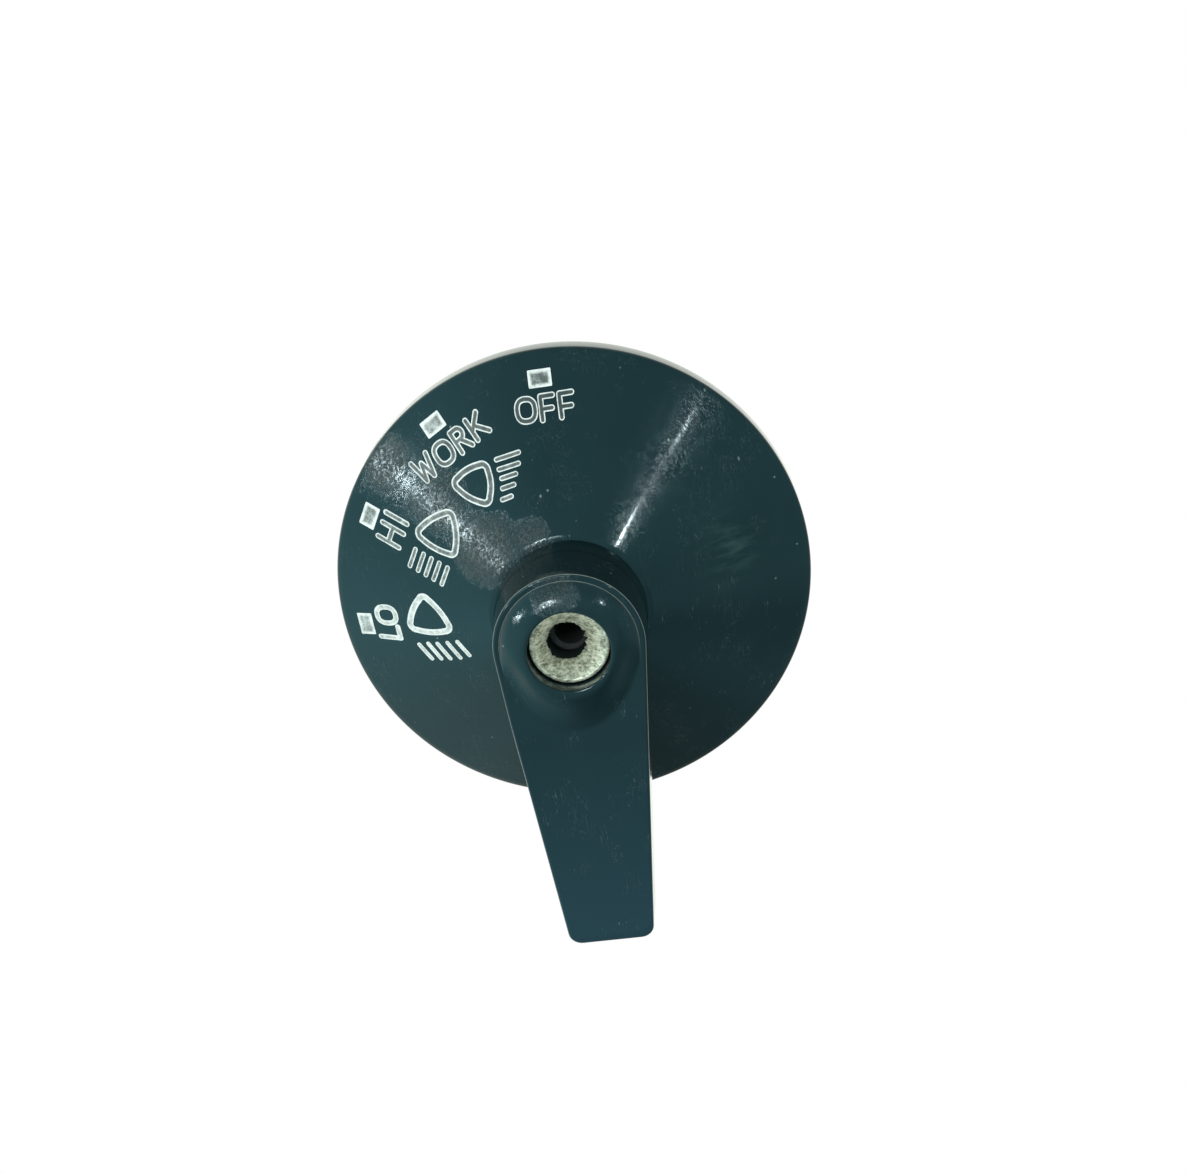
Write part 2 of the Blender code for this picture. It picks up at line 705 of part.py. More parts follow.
def contact_place(key):
    """Where a contact's rivet stands: the supply's on the axis, the others on a ring."""
    if key == "supply":
        return (0.0, 0.0)
    return polar(CONTACT_RING_R, TERMINAL_ANGLES[key])


def contact(key):
    """A contact rivet through the base: a head inside, a shank, and a tail peened over the terminal plate."""
    head_foot = CONTACT_TOP - HEAD_THICKNESS
    tail_top = PLATE_REAR - GAP
    profile = [
        (0, CONTACT_TOP),
        (CONTACT_HEAD_R - 0.3, CONTACT_TOP),
        (CONTACT_HEAD_R, CONTACT_TOP - 0.2),
        (CONTACT_HEAD_R, head_foot),
        (RIVET_R, head_foot),
        (RIVET_R, tail_top),
        (RIVET_R + 0.45, tail_top),
        (RIVET_R + 0.2, tail_top - RIVET_TAIL),
        (0, tail_top - RIVET_TAIL),
    ]
    name = f"{key}_contact"
    rivet = turned(name, profile, parts, switch_axis, sides=SMALL_ROUND)
    x, y = contact_place(key)
    rivet.location = (x * MM, y * MM, 0)
    if key == "tail":
        first = DETENT_ANGLE + DETENT_STEP - TRACK_RUN_PAST
        last = DETENT_ANGLE + DETENT_STEP * STEPS_TURNED + TRACK_RUN_PAST
        outline = arc((0, 0), CONTACT_RING_R - TRACK_HALF_WIDTH, last, first, 20)
        outline += arc((0, 0), CONTACT_RING_R + TRACK_HALF_WIDTH, first, last, 20)
        track = slab("tail_track", outline, head_foot + 0.05, CONTACT_TOP - 0.05, cutters, switch_axis)
        join(rivet, track)
    return finish(rivet, brass)


def screw_place(key):
    return polar(TERMINAL_SCREW_R, TERMINAL_ANGLES[key])


def terminal(key):
    """A brass plate riveted to the base, tapped for the terminal screw."""
    supply = key == "supply"
    start = -2.2 if supply else CONTACT_RING_R - 1.8
    neck = 1.9 if supply else 2.3
    turn = Matrix.Rotation(math.radians(TERMINAL_ANGLES[key]), 3, "Z")
    corners = [(start, -1.9), (CONTACT_RING_R + 1.2, -neck), (15.7, -3.0), (16.5, -2.2)]
    corners += [(x, -y) for x, y in reversed(corners)]
    outline = [tuple((turn @ Vector((x, y, 0)))[:2]) for x, y in corners]
    plate = slab(f"{key}_terminal", outline, PLATE_REAR, PLATE_TOP, parts, switch_axis)
    low, high = PLATE_REAR - EXTRA, PLATE_TOP + EXTRA
    holes = (("rivet_hole", RIVET_R + 0.25, contact_place(key)), ("screw_hole", SCREW_THREAD_R + 0.2, screw_place(key)))
    for name, radius, place in holes:
        cut(plate, rod(f"{key}_{name}", radius, low, high, cutters, switch_axis, place))
    return finish(plate, brass)


def terminal_screw(key):
    """A slotted round-head screw, its thread through the plate into the base's relief hole."""
    x, y = screw_place(key)
    profile = [
        (0, SCREW_TIP),
        (SCREW_THREAD_R - 0.4, SCREW_TIP),
        (SCREW_THREAD_R, SCREW_TIP - 0.4),
        (SCREW_THREAD_R, SCREW_HEAD_TOP),
        (SCREW_HEAD_R, SCREW_HEAD_TOP),
        (SCREW_HEAD_R, SCREW_HEAD_TOP - 0.8),
        (SCREW_HEAD_R - 0.7, SCREW_HEAD_TOP - SCREW_HEAD_HEIGHT),
        (0, SCREW_HEAD_TOP - SCREW_HEAD_HEIGHT),
    ]
    screw = turned(f"{key}_terminal_screw", profile, parts, switch_axis, sides=SMALL_ROUND)
    screw.location = (x * MM, y * MM, 0)
    foot = SCREW_HEAD_TOP - SCREW_HEAD_HEIGHT
    reach = SCREW_HEAD_R + EXTRA
    near = (-reach, -SLOT_HALF_WIDTH, foot - EXTRA)
    far = (reach, SLOT_HALF_WIDTH, foot + SLOT_DEPTH)
    slot = box(f"{key}_slot", near, far, cutters, switch_axis)
    slot.location = screw.location
    slot.rotation_euler = (0, 0, math.radians(TERMINAL_ANGLES[key] + SLOT_TURN))
    cut(screw, slot)
    return finish(screw, brass)


def terminal_base():
    """The insulating base: a spigot in the can, a flange on its rim, and holes for the rivets and screws."""
    spigot_r = CAN_R - CAN_WALL - GAP
    flange_r = CAN_R - 0.1
    profile = [
        (0, BASE_TOP),
        (spigot_r - 0.3, BASE_TOP),
        (spigot_r, BASE_TOP - 0.3),
        (spigot_r, BASE_FLANGE_TOP),
        (flange_r, BASE_FLANGE_TOP),
        (flange_r, BASE_REAR + 0.4),
        (flange_r - 0.4, BASE_REAR),
        (0, BASE_REAR),
    ]
    base = turned("terminal_base", profile, parts, switch_axis, sides=ROUND)
    low = BASE_REAR - EXTRA
    relief_r = SCREW_THREAD_R + 0.35
    for key in TERMINAL_ANGLES:
        place = contact_place(key)
        hole = rod(f"{key}_base_hole", RIVET_R + 0.25, low, BASE_TOP + EXTRA, cutters, switch_axis, place)
        place = screw_place(key)
        relief = rod(f"{key}_relief", relief_r, low, SCREW_TIP + GAP, cutters, switch_axis, place)
        cut(base, hole, relief)
    for i, angle in enumerate(TAB_ANGLES):
        near = (spigot_r - 0.01, -TAB_WIDTH / 2 - GAP, low)
        far = (CAN_R + EXTRA, TAB_WIDTH / 2 + GAP, BASE_FLANGE_TOP + EXTRA)
        cut(base, box(f"tab_notch_{i}", near, far, cutters, switch_axis, angle))
    return finish(base, phenolic)


def housing_can():
    """A drawn can: a front wall with the bushing's hole, a side wall, and three tabs folded over the base."""
    inner = CAN_R - CAN_WALL
    profile = [
        (BUSHING_R + GAP, CAN_FRONT),
        (CAN_R - 0.8, CAN_FRONT),
        (CAN_R - 0.23, CAN_FRONT - 0.23),
        (CAN_R, CAN_FRONT - 0.8),
        (CAN_R, CAN_RIM),
        (inner, CAN_RIM),
        (inner, CAN_FRONT - CAN_WALL),
        (BUSHING_R + GAP, CAN_FRONT - CAN_WALL),
    ]
    can = turned("housing_can", profile, parts, switch_axis)
    half = TAB_WIDTH / 2
    fold_top = BASE_REAR - GAP
    fold_foot = fold_top - TAB_THICKNESS
    leg_box = (inner + 0.1, -half, fold_foot), (CAN_R - 0.15, half, CAN_RIM + 0.5)
    fold_box = (CAN_R - TAB_REACH, -half, fold_foot), (inner + 0.5, half, fold_top)
    for i, angle in enumerate(TAB_ANGLES):
        leg = box(f"tab_leg_{i}", *leg_box, cutters, switch_axis, angle)
        fold = box(f"tab_fold_{i}", *fold_box, cutters, switch_axis, angle)
        join(can, leg, fold)
    low, high = CAN_FRONT - CAN_WALL - EXTRA, CAN_FRONT + EXTRA
    cut(can, rod("can_pin_hole", PIN_R + GAP, low, high, cutters, switch_axis, (0, PIN_RADIUS)))
    return finish(can, zinc)


# ---------------------------------------------------------------- build
clear_scene()
parts = new_collection("rotary_light_switch")
cutters = new_collection("cutters")
cutters.hide_render = True
switch_axis = new_axis("switch_axis")
switch_axis.rotation_euler = (math.pi / 2, 0, 0)
lever_axis = new_axis("lever_axis", switch_axis)

dial_black = new_material("dial_black", (0.010, 0.013, 0.016), 0.30)
lever_black = new_material("lever_black", (0.012, 0.015, 0.018), 0.25)
hub_metal = new_material("hub_metal", (0.55, 0.55, 0.47), 0.35, 1.0)
steel = new_material("steel", (0.52, 0.52, 0.50), 0.35, 1.0)
zinc = new_material("zinc_plate", (0.60, 0.60, 0.56), 0.40, 1.0)
brass = new_material("brass", (0.70, 0.52, 0.24), 0.35, 1.0)
rubber = new_material("seal_rubber", (0.02, 0.02, 0.02), 0.70)
nylon = new_material("nylon", (0.75, 0.72, 0.63), 0.50)
phenolic = new_material("phenolic", (0.10, 0.05, 0.03), 0.45)

dial_plate()
lock_washer()
panel_nut()
threaded_bushing()
shaft_seal()
thrust_washer()
housing_can()
locating_pin()
stop_pin()
spring_post("spring_post_left", -POST_X)
spring_post("spring_post_right", POST_X)
detent_spring()
terminal_base()
for terminal_name in TERMINAL_ANGLES:
    contact(terminal_name)
    terminal(terminal_name)
    terminal_screw(terminal_name)

lever()
lever_insert()
shaft()
shaft_clip()
star_wheel()
contact_carrier()
contact_spring()
contact_bridge()
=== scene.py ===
"""The look of the rotary light switch: fine meshes, worn marks, procedural materials, lights and the camera.

Sizes are in millimetres in the switch's own frame: z along the shaft towards the hand, y up the panel to OFF,
and z = 0 where the dial meets the panel. SWITCH_TO_WORLD turns that frame and scales it to the scene's metres.
"""

import math

import bpy
import numpy as np
from mathutils import Matrix, Vector


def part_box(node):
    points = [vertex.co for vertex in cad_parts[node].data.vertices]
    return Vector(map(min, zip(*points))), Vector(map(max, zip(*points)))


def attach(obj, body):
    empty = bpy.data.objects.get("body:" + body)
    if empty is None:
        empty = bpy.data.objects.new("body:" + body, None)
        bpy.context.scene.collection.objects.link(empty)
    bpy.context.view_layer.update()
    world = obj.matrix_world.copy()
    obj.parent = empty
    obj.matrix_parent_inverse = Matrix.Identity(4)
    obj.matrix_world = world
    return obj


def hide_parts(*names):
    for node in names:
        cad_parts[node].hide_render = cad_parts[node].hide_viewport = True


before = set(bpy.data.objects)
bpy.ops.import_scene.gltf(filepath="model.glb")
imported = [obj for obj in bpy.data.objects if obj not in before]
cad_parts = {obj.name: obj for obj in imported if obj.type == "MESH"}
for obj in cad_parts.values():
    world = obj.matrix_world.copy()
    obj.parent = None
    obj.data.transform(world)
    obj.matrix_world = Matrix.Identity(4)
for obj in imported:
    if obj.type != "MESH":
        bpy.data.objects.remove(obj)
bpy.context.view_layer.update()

MM = 0.001
SWITCH_TO_WORLD = Matrix.Rotation(math.pi / 2, 4, "X") @ Matrix.Scale(MM, 4)


# --- sizes, read from the frame where it has them
def node_size(node):
    """(low, high) of a CAD node in the switch frame, in millimetres."""
    low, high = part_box(node)
    back = SWITCH_TO_WORLD.inverted()
    corners = np.array([back @ Vector(low), back @ Vector(high)])
    return corners.min(axis=0), corners.max(axis=0)


DIAL_HIGH = node_size("dial_plate")[1]
LEVER_LOW, LEVER_HIGH = node_size("lever")
INSERT_LOW, INSERT_HIGH = node_size("lever_insert")
CAN_LOW, CAN_HIGH = node_size("housing_can")
BUSHING_LOW, BUSHING_HIGH = node_size("threaded_bushing")

DIAL_R = DIAL_HIGH[1]
CONE_SLOPE = 0.617
DIAL_WALL = 1.9
WELL_R = 8.9
WELL_OUTER = 10.1
WELL_FLOOR = 2.2
SKIRT_HEIGHT = DIAL_HIGH[2] - (DIAL_R - WELL_OUTER) * CONE_SLOPE
BUSHING_R = 4.76

BOSS_FOOT_R = LEVER_HIGH[0]
BOSS_TOP_R = 9.5
RECESS_R = INSERT_HIGH[0] + 0.16
RECESS_RIM = LEVER_HIGH[2]
BOSS_TOP = RECESS_RIM - 1.9
SPIGOT_R = 8.3
SPIGOT_END = LEVER_LOW[2]
ARM_LENGTH = -LEVER_LOW[1]
ARM_TAPER = math.radians(5.2)
ARM_TIP_TOP = BOSS_TOP - 5.1
ARM_ROOT_DEPTH = 8.0
ARM_TIP_DEPTH = 6.0
ARM_CORNER_R = 1.8
EDGE_R = 0.32
DRAFT = (BOSS_FOOT_R - BOSS_TOP_R) / (BOSS_TOP - (DIAL_HIGH[2] + 0.35))

MARKS_TURN = 1.4  # how far the printed OFF stands from the lever's line, degrees counter-clockwise
DETENT_STEP = 31.14


def cone_height(radius):
    return SKIRT_HEIGHT + (DIAL_R - radius) * CONE_SLOPE


# --- mesh helpers
def add_piece(name, points, faces, material, body, replaces=(), sharp=32.0):
    """A new piece from points in the switch frame. It rides on the body and takes the given material."""
    turn = np.array(SWITCH_TO_WORLD)[:3, :3]
    mesh = bpy.data.meshes.new(name)
    mesh.from_pydata((np.asarray(points, float) @ turn.T).tolist(), [], [tuple(map(int, f)) for f in faces])
    mesh.validate()
    mesh.update()
    mesh.shade_smooth()
    mesh.set_sharp_from_angle(angle=math.radians(sharp))
    mesh.materials.append(material)
    obj = bpy.data.objects.new(name, mesh)
    bpy.context.scene.collection.objects.link(obj)
    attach(obj, body)
    if replaces:
        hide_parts(*replaces)
    return obj


class Shape:
    """Points and faces gathered from several surfaces into one piece."""

    def __init__(self):
        self.points = []
        self.faces = []

    def add(self, points, faces):
        start = len(self.points)
        self.points.extend(np.asarray(points, float).tolist())
        self.faces.extend([tuple(i + start for i in face) for face in faces])

    def loft(self, rings, closed=True):
        """Quads between successive rings of equal length."""
        count = len(rings[0])
        points = np.concatenate(rings)
        faces = []
        last = count if closed else count - 1
        for k in range(len(rings) - 1):
            for i in range(last):
                j = (i + 1) % count
                faces.append((k * count + i, k * count + j, (k + 1) * count + j, (k + 1) * count + i))
        self.add(points, faces)

    def turn(self, profile, sides, centre=(0.0, 0.0)):
        """A (radius, z) profile turned round z, open at both ends of the profile."""
        angles = np.linspace(0.0, math.tau, sides, endpoint=False)
        self.loft([circle(angles, radius, z, centre) for radius, z in profile])

    def piece(self, name, material, body, node, sharp):
        """The piece that these surfaces make, in place of a CAD node."""
        return add_piece(name, self.points, self.faces, material, body, (node,), sharp)


def at_height(plan, z):
    """Points (x, y) raised to z, one height for all of them or one for each."""
    return np.column_stack([plan, np.broadcast_to(z, len(plan))])


def circle(angles, radius, z, centre=(0.0, 0.0)):
    """Points round a centre at those angles. The radius may change from one to the next."""
    plan = np.stack([centre[0] + radius * np.cos(angles), centre[1] + radius * np.sin(angles)], axis=1)
    return at_height(plan, z)


def rounded(points, radius, steps=5):
    """A profile whose inner corners are replaced by curves, each no larger than its sides allow."""
    points = [Vector(p) for p in points]
    out = [tuple(points[0])]
    for before, corner, after in zip(points, points[1:], points[2:]):
        a, b = before - corner, after - corner
        angle = a.angle(b)
        if abs(angle - math.pi) < 0.05:
            out.append(tuple(corner))
            continue
        reach = min(radius / math.tan(angle / 2), a.length * 0.45, b.length * 0.45)
        start, end = corner + a.normalized() * reach, corner + b.normalized() * reach
        for i in range(steps + 1):
            t = i / steps
            out.append(tuple((1 - t) ** 2 * start + 2 * t * (1 - t) * corner + t ** 2 * end))
    out.append(tuple(points[-1]))
    return out


# --- node helpers
class Tree:
    """The nodes of a material or of the world, with short calls for the ones used here."""

    def __init__(self, owner):
        owner.use_nodes = True
        self.owner = owner
        self.nodes = owner.node_tree.nodes
        self.links = owner.node_tree.links

    def feed(self, socket, value):
        if isinstance(value, bpy.types.NodeSocket):
            self.links.new(value, socket)
        else:
            socket.default_value = value

    def feed_all(self, node, inputs):
        for key, value in inputs.items():
            self.feed(node.inputs[key.replace("_", " ")], value)

    def node(self, kind, **inputs):
        node = self.nodes.new(kind)
        self.feed_all(node, inputs)
        return node

    def shade(self, **inputs):
        """The material, finished with these values or nodes on its shader."""
        self.feed_all(self.nodes["Principled BSDF"], inputs)
        return self.owner

    def math(self, operation, a, b=0.0):
        node = self.nodes.new("ShaderNodeMath")
        node.operation = operation
        self.feed(node.inputs[0], a)
        self.feed(node.inputs[1], b)
        return node.outputs[0]

    def times(self, a, b):
        return self.math("MULTIPLY", a, b)

    def minus(self, a, b):
        return self.math("SUBTRACT", a, b)

    def most(self, a, b):
        return self.math("MAXIMUM", a, b)

    def total(self, start, *terms):
        """start plus the product of each (value, factor) term."""
        for value, factor in terms:
            start = self.math("ADD", start, self.times(value, factor))
        return start

    def place(self, scale=(1, 1, 1), turn=(0, 0, 0)):
        """Object coordinates in millimetres, then turned and scaled."""
        where = self.node("ShaderNodeTexCoord").outputs["Object"]
        scale = [s / MM for s in scale]
        return self.node("ShaderNodeMapping", Vector=where, Scale=scale, Rotation=turn).outputs["Vector"]

    def noise(self, scale, detail, roughness, turn=(0, 0, 0), distortion=0.0):
        """Noise of that scale to the millimetre, one for every axis or one for each."""
        where = self.place(scale if isinstance(scale, tuple) else (scale,) * 3, turn)
        node = self.node("ShaderNodeTexNoise", Vector=where, Scale=1.0, Detail=detail, Roughness=roughness,
                         Distortion=distortion)
        return node.outputs["Fac"]

    def attribute(self, name):
        node = self.node("ShaderNodeAttribute")
        node.attribute_name = name
        return node.outputs["Fac"]

    def ramp(self, value, *stops):
        """Colour or grey stops (position, colour) read at value."""
        node = self.node("ShaderNodeValToRGB", Fac=value)
        elements = node.color_ramp.elements
        while len(elements) < len(stops):
            elements.new(0.5)
        for element, (position, colour) in zip(elements, stops):
            element.position = position
            element.color = (*colour, 1) if isinstance(colour, tuple) else (colour, colour, colour, 1)
        return node.outputs["Color"]

    def mix(self, factor, a, b):
        """Colour a blended towards colour b by factor."""
        node = self.node("ShaderNodeMix")
        node.data_type = "RGBA"
        self.feed(node.inputs["Factor"], factor)
        colours = [socket for socket in node.inputs if socket.type == "RGBA"]
        for socket, value in zip(colours, (a, b)):
            self.feed(socket, (*value, 1) if isinstance(value, tuple) else value)
        return [socket for socket in node.outputs if socket.type == "RGBA"][0]

    def bumps(self, *layers):
        """The normal after each layer: (height, strength, depth in millimetres)."""
        normal = None
        for height, strength, depth in layers:
            node = self.node("ShaderNodeBump", Height=height, Strength=strength, Distance=depth * MM)
            if normal is not None:
                self.feed(node.inputs["Normal"], normal)
            normal = node.outputs["Normal"]
        return normal

    def falloff(self, point, reach):
        """1 at a point of the switch frame, easing to 0 at reach, in millimetres."""
        x, y, z = point
        apart = self.node("ShaderNodeVectorMath")
        apart.operation = "DISTANCE"
        self.feed(apart.inputs[0], self.place())
        self.feed(apart.inputs[1], (x, -z, y))
        share = self.times(apart.outputs["Value"], 1 / reach)
        return self.ramp(share, (0.10, 1.0), (0.40, 0.66), (0.70, 0.22), (1.0, 0.0))

    def nicks(self, density, size, stretch, turn):
        """Sparse small nicks, 1 inside one and 0 elsewhere, some drawn out into short scores."""
        where = self.place([density * s for s in stretch], turn)
        cells = self.node("ShaderNodeTexVoronoi", Vector=where, Scale=1.0)
        spot = self.ramp(cells.outputs["Distance"], (size * 0.5, 1.0), (size, 0.0))
        pick = self.node("ShaderNodeSeparateColor", Color=cells.outputs["Color"])
        return self.times(spot, self.math("GREATER_THAN", pick.outputs["Red"], 0.35))

    def scratches(self, turns, stretch, density, width, sparseness=0.56):
        """Fine straight scratches, a set for each turn, 1 on a scratch and 0 elsewhere."""
        found = 0.0
        for turn in turns:
            lines = self.noise((density, density, density / stretch), 1.0, 0.4, turn)
            off_line = self.math("ABSOLUTE", self.minus(lines, 0.5))
            line = self.most(self.minus(1.0, self.times(off_line, 1.0 / width)), 0.0)
            patches = self.math("GREATER_THAN", self.noise(0.16, 2.0, 0.5, turn), sparseness)
            found = self.most(found, self.times(line, patches))
        return found


# --- materials
def new_tree(name):
    return Tree(bpy.data.materials.new(name))


def moulded_plastic(name, seed, scuffs, painted_sheen_from=None, smear=None):
    """Glossy blue-black moulding with faint flow marks, scratches and nicks, scuffed dull round points, painted
    highlight lines on the edges given them, and a painted reflection lightening the arm.

    Each scuff is (point, reach, strength). painted_sheen_from is where along the arm a painted reflection
    starts to lighten it towards the tip, in tenths of a metre below the shaft. smear is the (point, reach) of a
    chalky patch.
    """
    t = new_tree(name)
    haze = t.ramp(t.noise(0.07, 4.0, 0.6, (seed, 0.3, 0)), (0.42, 0.0), (0.75, 1.0))
    fine = t.noise(1.6, 5.0, 0.62, (0, seed, 0))
    speckle = t.ramp(t.noise(2.6, 4.0, 0.8, (0.3, seed, 0.8)), (0.49, 0.0), (0.60, 1.0))
    turns = [(0.2 + seed, 0.1, 0.5), (0.9, 0.4 + seed, 1.4), (1.9, 0.8, 2.3 + seed), (2.7 + seed, 1.3, 0.2)]
    scratch = t.scratches(turns, 34.0, 2.0, 0.005, 0.62)
    scores = t.scratches(turns[::-1], 20.0, 2.6, 0.016, 0.40)
    nicks = t.most(t.nicks(0.30, 0.055, (1, 1, 0.45), (0.4 + seed, 0.2, 0.5)),
                   t.nicks(0.22, 0.040, (1, 0.5, 1), (1.1, seed, 0.9)))
    scuffed = 0.0
    for point, reach, strength in scuffs:
        scuffed = t.most(scuffed, t.times(t.falloff(point, reach), strength))
    cloud = t.noise(0.30, 5.0, 0.65, (1.2, seed, 0.4))
    scuffed = t.minus(t.times(scuffed, 1.40), t.times(cloud, 0.72))
    scuffed = t.math("MINIMUM", t.most(scuffed, 0.0), 1.0)
    rubbed = t.times(t.total(0.12, (speckle, 0.88)), scuffed)
    worn = t.most(t.times(scratch, 0.5), nicks)
    worn = t.most(worn, t.times(scores, t.times(scuffed, 0.9)))
    # Painted highlight: lines marked on the mesh are lightened, standing in for reflections on the lever's
    # rounded edges.
    painted_edge_tone = t.times(t.attribute("edge_highlight"), t.total(0.25, (fine, 0.9)))
    base = t.mix(haze, (0.0030, 0.0100, 0.0120), (0.0048, 0.0140, 0.0165))
    if painted_sheen_from is not None:
        # Painted reflection: the arm's colour lightens towards its tip, standing in for the brighter
        # surroundings it reflects.
        height = t.node("ShaderNodeSeparateXYZ", Vector=t.place()).outputs["Z"]
        along = t.ramp(t.times(height, -0.01), (painted_sheen_from, 0.0), (0.44, 1.0))
        base = t.mix(along, base, (0.0120, 0.0340, 0.0480))
    if smear is not None:
        chalk = t.ramp(t.noise((0.16, 0.3, 0.9), 4.0, 0.6, (0, -0.35, 0)), (0.45, 0.0), (0.70, 1.0))
        chalk = t.times(chalk, t.falloff(*smear))
        base = t.mix(t.times(chalk, 0.28), base, (0.07, 0.13, 0.11))
    base = t.mix(t.times(worn, 0.50), base, (0.24, 0.29, 0.28))
    base = t.mix(t.times(rubbed, 0.42), base, (0.125, 0.150, 0.140))
    base = t.mix(painted_edge_tone, base, (0.24, 0.31, 0.28))
    rough = t.total(0.045, (haze, 0.03), (fine, 0.025), (worn, 0.25), (scuffed, 0.16), (rubbed, 0.14))
    ripple = t.noise(0.22, 2.0, 0.4, (seed, 0, 1.0))
    pitting = t.times(speckle, t.math("ADD", scuffed, 0.02))
    normal = t.bumps((ripple, 0.12, 0.08), (fine, 0.05, 0.010), (pitting, 1.0, 0.11),
                     (t.minus(1.0, worn), 0.35, 0.010))
    return t.shade(Base_Color=base, Roughness=rough, Normal=normal, IOR=1.50,
                   Specular_Tint=(0.82, 1.0, 1.04, 1))


def printed_ink(name):
    """Cream marking ink, bright at its edges, rubbed through in the middle as far as the mark's wear says."""
    t = new_tree(name)
    grain = t.noise(4.5, 4.0, 0.65)
    patch = t.noise(0.9, 3.0, 0.55, (0.4, 0, 0))
    middle = t.ramp(t.attribute("inset"), (0.22, 0.0), (0.62, 1.0))
    rubbed = t.times(middle, t.attribute("wear"))
    rubbed = t.total(rubbed, (t.minus(patch, 0.5), 0.9), (t.minus(grain, 0.5), 0.7))
    colour = t.ramp(rubbed, (0.0, (0.78, 0.89, 0.85)), (0.28, (0.46, 0.55, 0.52)), (0.58, (0.11, 0.14, 0.13)),
                    (0.90, (0.022, 0.036, 0.036)))
    rough = t.minus(0.62, t.times(rubbed, 0.25))
    return t.shade(Base_Color=colour, Normal=t.bumps((grain, 0.5, 0.02)), Roughness=rough)


def turned_metal(name, light, dark, rough, metallic=1.0, mottle=0.5, tint=None):
    """Metal with fine turning rings about the shaft, mottled by handling, tarnish or plating."""
    t = new_tree(name)
    patch = t.noise(0.5, 5.0, 0.6)
    cloud = t.noise(0.12, 3.0, 0.5, (0.5, 0.2, 0))
    rings = t.noise((0.25, 7.0, 0.25), 2.0, 0.7)
    pits = t.noise(3.4, 3.0, 0.6)
    dirt = t.ramp(t.total(t.times(patch, 0.6), (cloud, 0.4)),
                  (0.5 - 0.28 * mottle, 0.0), (0.5 + 0.22 * mottle, 1.0))
    base = t.mix(dirt, dark, light)
    if tint is not None:
        base = t.mix(t.times(cloud, 0.5), base, tint)
    rough = t.total(rough - 0.10, (rings, 0.14), (t.minus(1.0, dirt), 0.18))
    normal = t.bumps((rings, 0.30, 0.02), (pits, 0.20, 0.015))
    return t.shade(Base_Color=base, Roughness=rough, Normal=normal, Metallic=metallic)


def machined_hub(name):
    """The insert's turned face: dull grey-cream metal with chatter, smears of grease and dark flecks."""
    t = new_tree(name)
    blotch = t.noise(0.85, 5.0, 0.62, (0.2, 0.3, 0.1), 0.8)
    flecks = t.noise(2.6, 4.0, 0.7, (1.2, 0, 0.4))
    streaks = t.noise((2.2, 0.4, 5.0), 3.0, 0.6, (0.3, 0.2, 0.5))
    tone = t.total(t.times(blotch, 0.55), (streaks, 0.45))
    base = t.ramp(tone, (0.38, (0.14, 0.155, 0.11)), (0.47, (0.47, 0.51, 0.375)), (0.57, (0.84, 0.87, 0.71)))
    base = t.mix(t.ramp(flecks, (0.30, 1.0), (0.38, 0.0)), base, (0.10, 0.12, 0.10))
    rough = t.total(0.30, (blotch, 0.30))
    normal = t.bumps((streaks, 0.55, 0.06), (flecks, 0.45, 0.04))
    return t.shade(Base_Color=base, Roughness=rough, Normal=normal, Metallic=0.35)


def pressed_sheet(name, light, dark, rough):
    """Plated sheet steel: passivated blotches, faint drawing lines along its side and small scuffs."""
    t = new_tree(name)
    cloud = t.noise(0.16, 4.0, 0.6, distortion=0.6)
    spangle = t.noise(1.1, 4.0, 0.7, (0.2, 0.1, 0))
    drawn = t.noise((2.4, 0.10, 2.4), 3.0, 0.6)
    scuff = t.scratches([(0.4, 0.9, 0.2), (1.7, 0.2, 1.1)], 22.0, 1.8, 0.010)
    tone = t.ramp(t.total(t.times(cloud, 0.7), (spangle, 0.3)), (0.36, 0.0), (0.64, 1.0))
    base = t.mix(t.times(scuff, 0.5), t.mix(tone, dark, light), (0.75, 0.76, 0.74))
    rough = t.total(rough - 0.06, (spangle, 0.16), (drawn, 0.10))
    normal = t.bumps((drawn, 0.22, 0.02), (spangle, 0.12, 0.02))
    return t.shade(Base_Color=base, Roughness=rough, Normal=normal, Metallic=1.0)


def matt_moulding(name, light, dark, rough, fleck=None, specular=0.5):
    """A dull moulding: cloudy colour, a fine grain and, in phenolic, small pale flecks of its filler."""
    t = new_tree(name)
    cloud = t.noise(0.20, 4.0, 0.6)
    grain = t.noise(5.0, 3.0, 0.6)
    base = t.mix(t.ramp(cloud, (0.35, 0.0), (0.68, 1.0)), dark, light)
    if fleck is not None:
        spots = t.ramp(t.noise((2.0, 2.0, 0.8), 2.0, 0.5), (0.62, 0.0), (0.70, 0.7))
        base = t.mix(spots, base, fleck)
    rough = t.total(rough - 0.08, (grain, 0.16))
    normal = t.bumps((grain, 0.25, 0.02), (cloud, 0.15, 0.10))
    return t.shade(Base_Color=base, Roughness=rough, Normal=normal, Specular_IOR_Level=specular)


def on_cone(radius, bearing):
    """A point on the cone, its bearing in degrees counter-clockwise from the right."""
    angle = math.radians(bearing)
    return (radius * math.cos(angle), radius * math.sin(angle), cone_height(radius))


